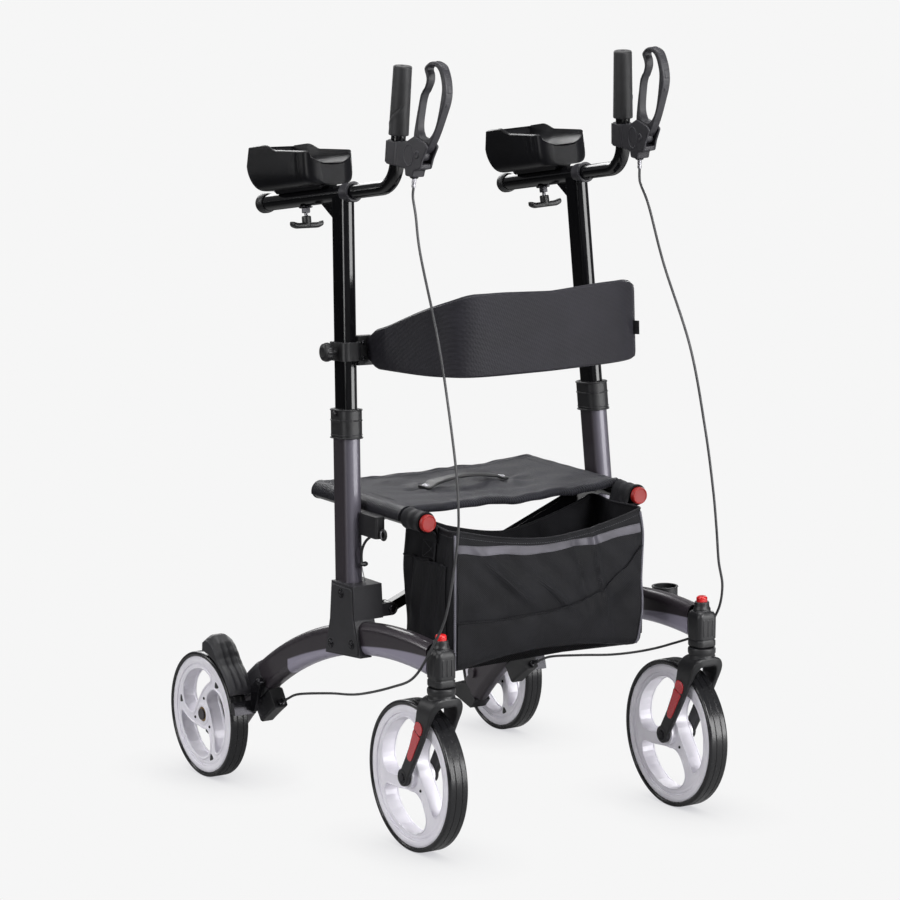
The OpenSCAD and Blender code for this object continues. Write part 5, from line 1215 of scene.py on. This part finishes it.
def bagSpot(share, v):  # place and outward direction, share 0 to 1 round the bag from its left side
    key = round(v * 200)
    if key not in bagOutlines:
        bagOutlines[key] = bagOutline(key / 200)
    line = bagOutlines[key]
    at = (share % 1) * 360
    i = int(at)
    p = line[i].lerp(line[i + 1], at - i)
    along = (line[(i + 3) % 360] - line[(i - 2) % 360]).normalized()
    return p, Vector((along.y, -along.x, 0))


def bagTop(x, y):  # the opening sags between the rails, more at the back
    front, back = (low + rise * min(1, abs(x - middle) / bag["topHalf"]) ** power
                   for low, rise, middle, power in bag["tops"])
    edge = front + (back - front) * ease(-60, 60, y)
    return edge + (bag["sideTop"] - edge) * ease(158, 172, abs(x))


def bagLow(x, y):
    return bag["low"] + 15 * max(0, 1 - (x / 150) ** 2) * ease(20, -60, y) + 2


def bagBillow(p, v):  # slack of the cloth, outward
    x, y = p.x, p.y
    onFront, onBack, onSide = ease(-50, -66, y), ease(50, 66, y), ease(157, 170, abs(x))
    out = 4.5 * math.sin(math.pi * v) * (onFront + onBack) * (1 - (x / 176) ** 2)
    out -= (8.5 * ease(0.15, 0.9, v) * gauss(y, 34) - 2) * onSide
    for x0, v0, lean, wide, deep, reach in bag["folds"]:
        away = (v - v0) + (x - x0) * lean / 200
        out += deep * gauss(away, wide) * gauss(x - x0, reach) * (onFront + 0.5 * onBack)
    warp = noise.noise(Vector((x * 0.011, v * 2.1, 5.3))) * 0.9
    large = noise.noise(Vector((x * 0.013 + warp, y * 0.03, v * 1.9 + 1.7)))
    out += 4.4 * large * math.sin(math.pi * min(1, v * 0.9 + 0.08))
    out += 1.3 * noise.noise(Vector((x * 0.034 - warp, y * 0.06, v * 4.6))) * math.sin(math.pi * v)
    out += 2.2 * math.sin(y * 0.16 + 6 * v) * onSide * ease(0.1, 0.5, v) * ease(1, 0.75, v)
    return out


def bagPoint(share, v, lift=0.0):
    p, out = bagSpot(share, max(0, min(1, v)))
    tuck = -10 * (1 - math.sqrt(max(0, 1 - max(0, 1 - v / 0.06) ** 2)))  # the bottom edge is rounded in
    q = p + out * (bagBillow(p, v) + lift + tuck)
    low, top = bagLow(p.x, p.y), bagTop(p.x, p.y)
    return q.x, q.y + bag["middle"], low + (top - low) * v


def bagAtHeight(share, z, lift=0.0):
    p = bagSpot(share, 0.5)[0]
    low, top = bagLow(p.x, p.y), bagTop(p.x, p.y)
    return bagPoint(share, (z - low) / (top - low), lift)


def shareAt(x, y):  # the share round the bag that is nearest to a place
    return min((k / 720 for k in range(720)), key=lambda s: (bagSpot(s, 0.5)[0] - Vector((x, y, 0))).length)


def spread(first, last, count):
    return [first + (last - first) * k / count for k in range(count + 1)]


def overlay(shares, lower, upper, rows, lift, thick, puff=None):  # a second layer on the bag's wall
    grid = []
    for i, s in enumerate(shares):
        column = []
        for j in range(rows + 1):
            extra = puff(i / (len(shares) - 1), j / rows) if puff else 0
            column.append((lower(s) + (upper(s) - lower(s)) * j / rows, lift + extra))
        grid.append([bagAtHeight(s, z, d + thick) for z, d in column]
                    + [bagAtHeight(s, z, d) for z, d in column[::-1]])
    return loft(grid)


def frontX(share):
    return bagSpot(share, 0.5)[0].x


def stripTop(share):
    x, (low, rise) = frontX(share), bag["stripTop"]
    return low + rise * min(1, abs(x - 8) / 165) ** 1.6 + 0.8 * math.sin(x * 0.06)


def stripTall(share):
    return bag["stripTall"] - 2.6 * gauss(frontX(share) - 40, 46) + 0.7 * math.sin(frontX(share) * 0.09)


def pocketTop(share):
    return through(bag["seam"], frontX(share))


def pocketPuff(u, w):
    return 2.6 * math.sin(math.pi * u) * math.sin(math.pi * w) + 1.2 * gauss(w - 1, 0.12) * math.sin(13 * u)


def ruche(u, w):  # the side pocket is gathered along its elastic
    return (1 + 6 * math.sin(math.pi * u) * (0.4 + 0.6 * w)
            + 1.5 * math.sin(math.tau * 5 * u + 3 * u * u) * w ** 1.5 * math.sin(math.pi * u) ** 0.5)


def hungBag():
    shares = [k / bag["around"] for k in range(bag["around"])]
    heights = [(j / bag["rows"]) ** 1.15 for j in range(bag["rows"] + 1)]
    outer = [[bagPoint(s, v) for s in shares] for v in heights]
    inner = [[bagPoint(s, v, -bag["thick"]) for s in shares] for v in heights]
    obj = sewn("bag", "bag_cloth", loft(inner + outer[::-1]), bagWeave, ("storage_bag",))
    parts = []

    def sew(name, shape, look):
        parts.append(sewn("bag", "bag_" + name, shape, look))

    edge = [bagPoint(k / 240, 1, -bag["thick"] / 2) for k in range(240)]
    sew("hem", sweep(edge, 2.3, 10, closed=True, wide=0.8), hemTape)
    sew("hem_stitch", stitches([bagPoint(k / 720, 0.965, 0.1) for k in range(721)], 4, 2.7, 0.4), threadCord)
    left, right = shareAt(-167, -73), shareAt(167, -73)
    across = spread(left, right, 90)
    sew("strip", overlay(across, lambda s: stripTop(s) - stripTall(s), stripTop, 4, 0.5, 0.7), reflectTape)
    for name, drop in (("upper", 0.1), ("lower", 0.9)):
        line = [bagAtHeight(s, stripTop(s) - stripTall(s) * drop, 1.3) for s in spread(left, right, 260)]
        sew("strip_stitch_" + name, stitches(line, 4, 2.8, 0.32), threadCord)
    front = overlay(across, lambda s: bagLow(frontX(s), -70) + 12, pocketTop, 26, 0.4, 1.0, pocketPuff)
    sew("front_pocket", front, bagWeave)
    line = [bagAtHeight(s, pocketTop(s), 1.6 + 1.2 * math.sin(13 * k / 120))
            for k, s in enumerate(spread(left, right, 120))]
    sew("pocket_tape", sweep(line, 2.6, 8, wide=0.5), hemTape)
    for side, tag in sides:
        corner = shareAt(side * 169, -69)
        line = [bagPoint(corner, 0.02 + 0.96 * k / 60, 1.0) for k in range(61)]
        sew("piping_" + tag, sweep(line, bag["piping"], 10), pipingGrey)
        a, b = shareAt(side * 173, -58 * side), shareAt(side * 173, 58 * side)
        b += b < a
        pouch = overlay(spread(a, b, 72), lambda s: bag["pocketLow"], lambda s: bag["pocket"], 26, 0.4, 1.2, ruche)
        sew("side_pocket_" + tag, pouch, bagWeave)
        line = [bagAtHeight(s, bag["pocket"], 0.8 + ruche(k / 90, 1)) for k, s in enumerate(spread(a, b, 90))]
        sew("side_elastic_" + tag, sweep(line, 3.4, 8, wide=0.55), hemTape)
        c, d = sorted((shareAt(side * 173, -20), shareAt(side * 173, 24)))
        c, d = (c, d) if d - c < 0.5 else (d, c + 1)
        low, top = bag["flap"]
        sew("flap_" + tag, overlay(spread(c, d, 30), lambda s: low, lambda s: top, 20, 0.9, 1.3), hemTape)
        path = [bagAtHeight(c + (d - c) * p[0], low + (top - low) * p[1], 2.4) for p in spaced(bag["box"], 160)]
        sew("flap_stitch_" + tag, stitches(path, 3.6, 2.6, 0.42), threadCord)
    squashed("bag", obj, *parts)


sleeve = {"front": -232, "long": 46, "rows": 24, "radius": 14.6, "half": 1.0,
          "inner": [(169.2, 456), (170.4, 466), (172.6, 476), (175.6, 484)],
          "outer": [(178, 474), (173.6, 466), (171.8, 456)]}


def bagSleeves():  # a loop of cloth round each rail, sewn to the bag's side
    turns = [math.radians(160 - 275 * k / 14) for k in range(15)]
    loop = [(seat["rail"] + sleeve["radius"] * math.cos(a), seat["level"] + sleeve["radius"] * math.sin(a))
            for a in turns]
    line = smoothLine(sleeve["inner"] + loop + sleeve["outer"], 3)
    ways = [(b - a).normalized() for a, b in zip(line[:1] + line, line[1:] + line[-1:])]
    rings = []
    for j in range(sleeve["rows"] + 1):
        v = j / sleeve["rows"]
        y = sleeve["front"] + sleeve["long"] * v
        swell = 0.5 * math.sin(math.tau * 2.5 * v) + 0.9 * (gauss(v, 0.08) + gauss(v - 1, 0.08))
        out, back = ([(p.x - d.y * off, y, p.y + d.x * off) for p, d in zip(line, ways)]
                     for off in (sleeve["half"] + swell, -sleeve["half"]))
        rings.append(out + back[::-1])
    twin("bag_sleeve", loft(rings), hemTape, "rail")


hungBag()
bagSleeves()
print("bag hung")

# backrest band: quilted strap, puffed by a cloth run between its stitch lines
band = {"half": 184, "root": (-62.3, 730), "reach": 222, "square": 0.34, "thick": 11, "lean": 4.13, "around": 168,
        "up": 26, "groove": 0.1, "press": 3.2, "cap": 3.0, "frames": 18, "seam": 0.836, "soften": 0.012,
        "tops": [(0, 742), (0.02, 760), (0.08, 773), (0.31, 836), (0.38, 836), (0.5, 831)],
        "lows": [(0, 721), (0.02, 704), (0.1, 707), (0.26, 713), (0.5, 711)], "binding": (0.985, 2.0),
        "tab": {"run": 0.287, "middle": -0.18, "half": 0.18, "reach": 12, "rows": 8, "thin": 0.0016},
        "thread": (4.2, 2.9, 0.42)}


def bandMid(a):
    return Vector((band["half"] * spow(math.cos(a), band["square"]),
                   band["root"][0] - band["reach"] * abs(math.sin(a)) ** band["square"], 0))


def bandLine():  # equal steps along the strap, so its weave isn't bunched at the corners
    half = [math.pi / 2 * (k / 700) ** 4 for k in range(701)]
    half = [a for a in half if a < 0.7] + [math.pi / 2 - a for a in half[::-1] if a < math.pi / 2 - 0.7]
    return spaced([bandMid(a) for a in half + [math.pi - a for a in half[-2::-1]]], band["around"] + 1)


bandPath = bandLine()


def bandSpot(run, share, out):  # run 0 to 1 along the strap, share -1 bottom to 1 top, out along its face
    at = min(1, max(0, run)) * band["around"]
    i = min(int(at), band["around"] - 1)
    p = bandPath[i].lerp(bandPath[i + 1], at - i)
    a, b = bandPath[max(i - 1, 0)], bandPath[min(i + 2, band["around"])]
    n = Vector(((b - a).y, (a - b).x, 0)).normalized()
    rise = min(1, (band["root"][0] - p.y) / band["reach"])
    end = min(run, 1 - run)
    top, low = (sum(through(band[k], end + d, 0) for d in (-band["soften"], 0, band["soften"])) / 3
                for k in ("tops", "lows"))
    z = (top + low) / 2 + (top - low) / 2 * share
    lean = math.tan(math.radians(band["lean"])) * (1 - rise ** 6)
    return p.x + n.x * out, p.y + n.y * out + lean * (z - band["root"][1]), z


def bandFace(run, share):  # half thickness: slim edges, stitched-down lines near both edges and at the seam
    edge = 1 - abs(share)
    thick = band["thick"] / 2 * (0.30 + 0.70 * math.sqrt(max(0, 1 - max(0, 1 - edge / 0.1) ** 2)))
    thick -= 1.3 * gauss(edge - band["groove"], 0.02)
    thick -= 1.2 * gauss((run - band["seam"]) / 0.003, 1) * ease(0, 0.05, edge)
    gather = ease(0.955, 1, run) + ease(0.045, 0, run)
    thick += (0.8 * math.sin(share * 13) - 0.6) * gather * edge
    return max(1.4, thick)


def backBand():
    m = band["up"]
    runs = [k / band["around"] for k in range(band["around"] + 1)]
    shares = [math.sin(math.pi / 2 * u) * 0.6 + u * 0.4 for u in (2 * i / m - 1 for i in range(m + 1))]
    rings = [[bandSpot(a, s, bandFace(a, s)) for s in shares]
             + [bandSpot(a, s, -bandFace(a, s)) for s in shares[::-1]] for a in runs]
    obj = sewn("band", "back_band", loft(rings), bandFabric, ("backrest_band",))
    puff(obj, runs, shares + shares[::-1])
    rows = []
    for face in (1, -1):
        lines = [[(a, s * (1 - band["groove"]), 0.3) for a in runs[3:-3]] for s in (-1, 1)]
        lines.append([(band["seam"], k / 40 - 1, 0.25) for k in range(6, 75)])
        for line in lines:
            path = [bandSpot(a, s, face * (bandFace(a, s) + lift)) for a, s, lift in line]
            rows.append(stitches(path, *band["thread"]))
    rows = sewn("band", "band_stitches", joined(*rows), threadCord)
    share, r = band["binding"]
    edges = [sweep([bandSpot(a, s * share, 0) for a in runs], r, 10) for s in (-1, 1)]
    edges = sewn("band", "band_binding", joined(*edges), bandFabric)
    tab = band["tab"]
    rings = []
    for t in (k / tab["rows"] for k in range(tab["rows"] + 1)):
        half = tab["thin"] * (1 - 0.5 * t ** 3)
        rings.append([bandSpot(tab["run"] + half * x, tab["middle"] + tab["half"] * y,
                               -3 - tab["reach"] * math.sin(math.pi / 2 * t)) for x, y in roundRect(2, 2, 0.3, 3)])
    squashed("band", obj, rows, edges, sewn("band", "band_tab", loft(rings), hemTape))


def puff(obj, runs, shares):  # the fabric swells between the lines that hold it
    mesh, last = obj.data, len(runs) - 1
    before = [v.co.copy() for v in mesh.vertices]
    group = obj.vertex_groups.new(name="held")
    for k, run in enumerate(runs):
        for i, share in enumerate(shares):
            edge = 1 - abs(share)
            hold = max(gauss(edge - band["groove"], 0.03), ease(0.1, 0.03, edge),
                       gauss((run - band["seam"]) / 0.006, 1), ease(4, 1, k), ease(last - 4, last - 1, k))
            group.add([k * len(shares) + i], min(1, hold), "REPLACE")
    made = obj.modifiers.new("puff", "CLOTH")
    made.settings.quality = 6
    made.settings.mass = 0.25
    made.settings.tension_stiffness = made.settings.compression_stiffness = 18
    made.settings.shear_stiffness = 8
    made.settings.bending_stiffness = 0.6
    made.settings.use_pressure = True
    made.settings.uniform_pressure_force = band["press"]
    made.settings.vertex_group_mass = "held"
    made.settings.effector_weights.gravity = 0
    made.collision_settings.use_collision = False
    made.point_cache.frame_start, made.point_cache.frame_end = 1, band["frames"]
    for f in range(1, band["frames"] + 1):
        scene.frame_set(f)
    shaped = obj.evaluated_get(bpy.context.evaluated_depsgraph_get())
    after = [v.co.copy() for v in shaped.data.vertices]
    obj.modifiers.remove(made)
    obj.vertex_groups.clear()
    for v, old, new in zip(mesh.vertices, before, after):
        move = new - old
        v.co = old + move * min(1, band["cap"] * mm / max(1e-9, move.length))
    mesh.update()
    scene.frame_set(1)


backBand()
print("backrest padded")

# stage: a pale floor that the camera sees flat, with a painted contact shadow where the walker stands close above it,
# and for reflections a painted pool of light round the walker, brightest ahead of it
stage = {"reach": 45.0, "drop": -0.0004, "pale": tone(246, 246, 246), "shade": tone(196, 196, 200),
         "pool": (0.7, 1.9), "near": 0.34, "far": 0.04, "sweep": (0.5, 1.7), "ahead": (0.53, -0.85), "front": 0.85,
         "touch": 0.13, "below": (0.05, 0.05, 0.053, 1), "above": (0.20, 0.20, 0.205, 1)}
lamps = {
    "keyFront": {"at": (0.6, -3.8, 2.5), "aim": (0, -0.1, 0.5), "size": (1.6, 2.2), "power": 150},
    "frontLow": {"at": (2.0, -3.1, 0.8), "aim": (0, -0.2, 0.5), "size": (1.1, 1.5), "power": 45},
    "fillLeft": {"at": (-3.9, -0.6, 1.7), "aim": (0, 0, 0.5), "size": (1.4, 2.2), "power": 60},
    "top": {"at": (0.0, 0.1, 3.4), "aim": (0, 0, 0), "size": (2.2, 2.2), "power": 80},
    "backFill": {"at": (1.0, 4.2, 2.1), "aim": (0, 0, 0.5), "size": (2.2, 2.0), "power": 60},
    "rimRight": {"at": (3.2, 2.2, 1.8), "aim": (0, 0, 0.5), "size": (0.6, 2.2), "power": 45},
    "rimLeft": {"at": (-2.6, 2.8, 1.9), "aim": (0, 0, 0.5), "size": (0.4, 2.2), "power": 22}}


def emptyTree(owner):
    owner.use_nodes = True
    owner.node_tree.nodes.clear()
    return Wire(owner.node_tree)


def makeFloor():
    mesh = bpy.data.meshes.new("floor")
    reach = stage["reach"]
    corners = [(x * reach, y * reach, stage["drop"]) for x, y in ((-1, -1), (1, -1), (1, 1), (-1, 1))]
    mesh.from_pydata(corners, [], [(0, 1, 2, 3)])
    floor = bpy.data.objects.new("floor", mesh)
    scene.collection.objects.link(floor)
    made = bpy.data.materials.new("paleFloor")
    wire = emptyTree(made)
    seen = wire.node("ShaderNodeLightPath", out=0)
    # painted shadow: the flat floor darkens towards the shade tone where the walker is close above it
    contactShadow = wire.node("ShaderNodeAmbientOcclusion", {"samples": 16}, {"Distance": stage["touch"]}, 1)
    flat = wire.node("ShaderNodeEmission", {}, {"Color": (contactShadow ** 0.8).between(stage["shade"], stage["pale"])})
    place = wire.spot()
    x, y = place.axis("X"), place.axis("Y")
    # painted pool of light: for rays other than the camera's, the floor is brighter near the walker
    pool = (1 - (x * x + y * y).root().step(*stage["pool"])) * (stage["near"] - stage["far"]) + stage["far"]
    ahead = (x * stage["ahead"][0] + y * stage["ahead"][1]).step(*stage["sweep"])  # painted light ahead of the walker, which the front faces mirror
    pool = pool + (stage["front"] - pool) * ahead
    dull = wire.node("ShaderNodeBsdfDiffuse", {}, {"Color": pool.between((0, 0, 0, 1), (1, 1, 1, 1))})
    both = wire.node("ShaderNodeMixShader", {}, {0: seen, 1: dull, 2: flat})
    wire.node("ShaderNodeOutputMaterial", {}, {"Surface": both}, None)
    mesh.materials.append(made)


def makeWorld():
    world = bpy.data.worlds.new("studio")
    wire = emptyTree(world)
    seen = wire.node("ShaderNodeLightPath", out=0)
    up = wire.node("ShaderNodeTexCoord", out=0).axis("Z")
    grey = (up * 0.5 + 0.5).between(stage["below"], stage["above"])
    back = wire.node("ShaderNodeBackground", {}, {"Color": seen.between(grey, stage["pale"])})
    wire.node("ShaderNodeOutputWorld", {}, {"Surface": back}, None)
    scene.world = world


def makeLamps():
    for name, look in lamps.items():
        data = bpy.data.lights.new(name, "AREA")
        data.shape = "RECTANGLE"
        data.size, data.size_y = look["size"]
        data.energy = look["power"]
        lamp = bpy.data.objects.new(name, data)
        at, aim = Vector(look["at"]), Vector(look["aim"])
        lamp.matrix_world = Matrix.Translation(at) @ (aim - at).to_track_quat("-Z", "Y").to_matrix().to_4x4()
        scene.collection.objects.link(lamp)


makeFloor()
makeWorld()
makeLamps()
scene.view_settings.view_transform = "Standard"
print("stage lit")
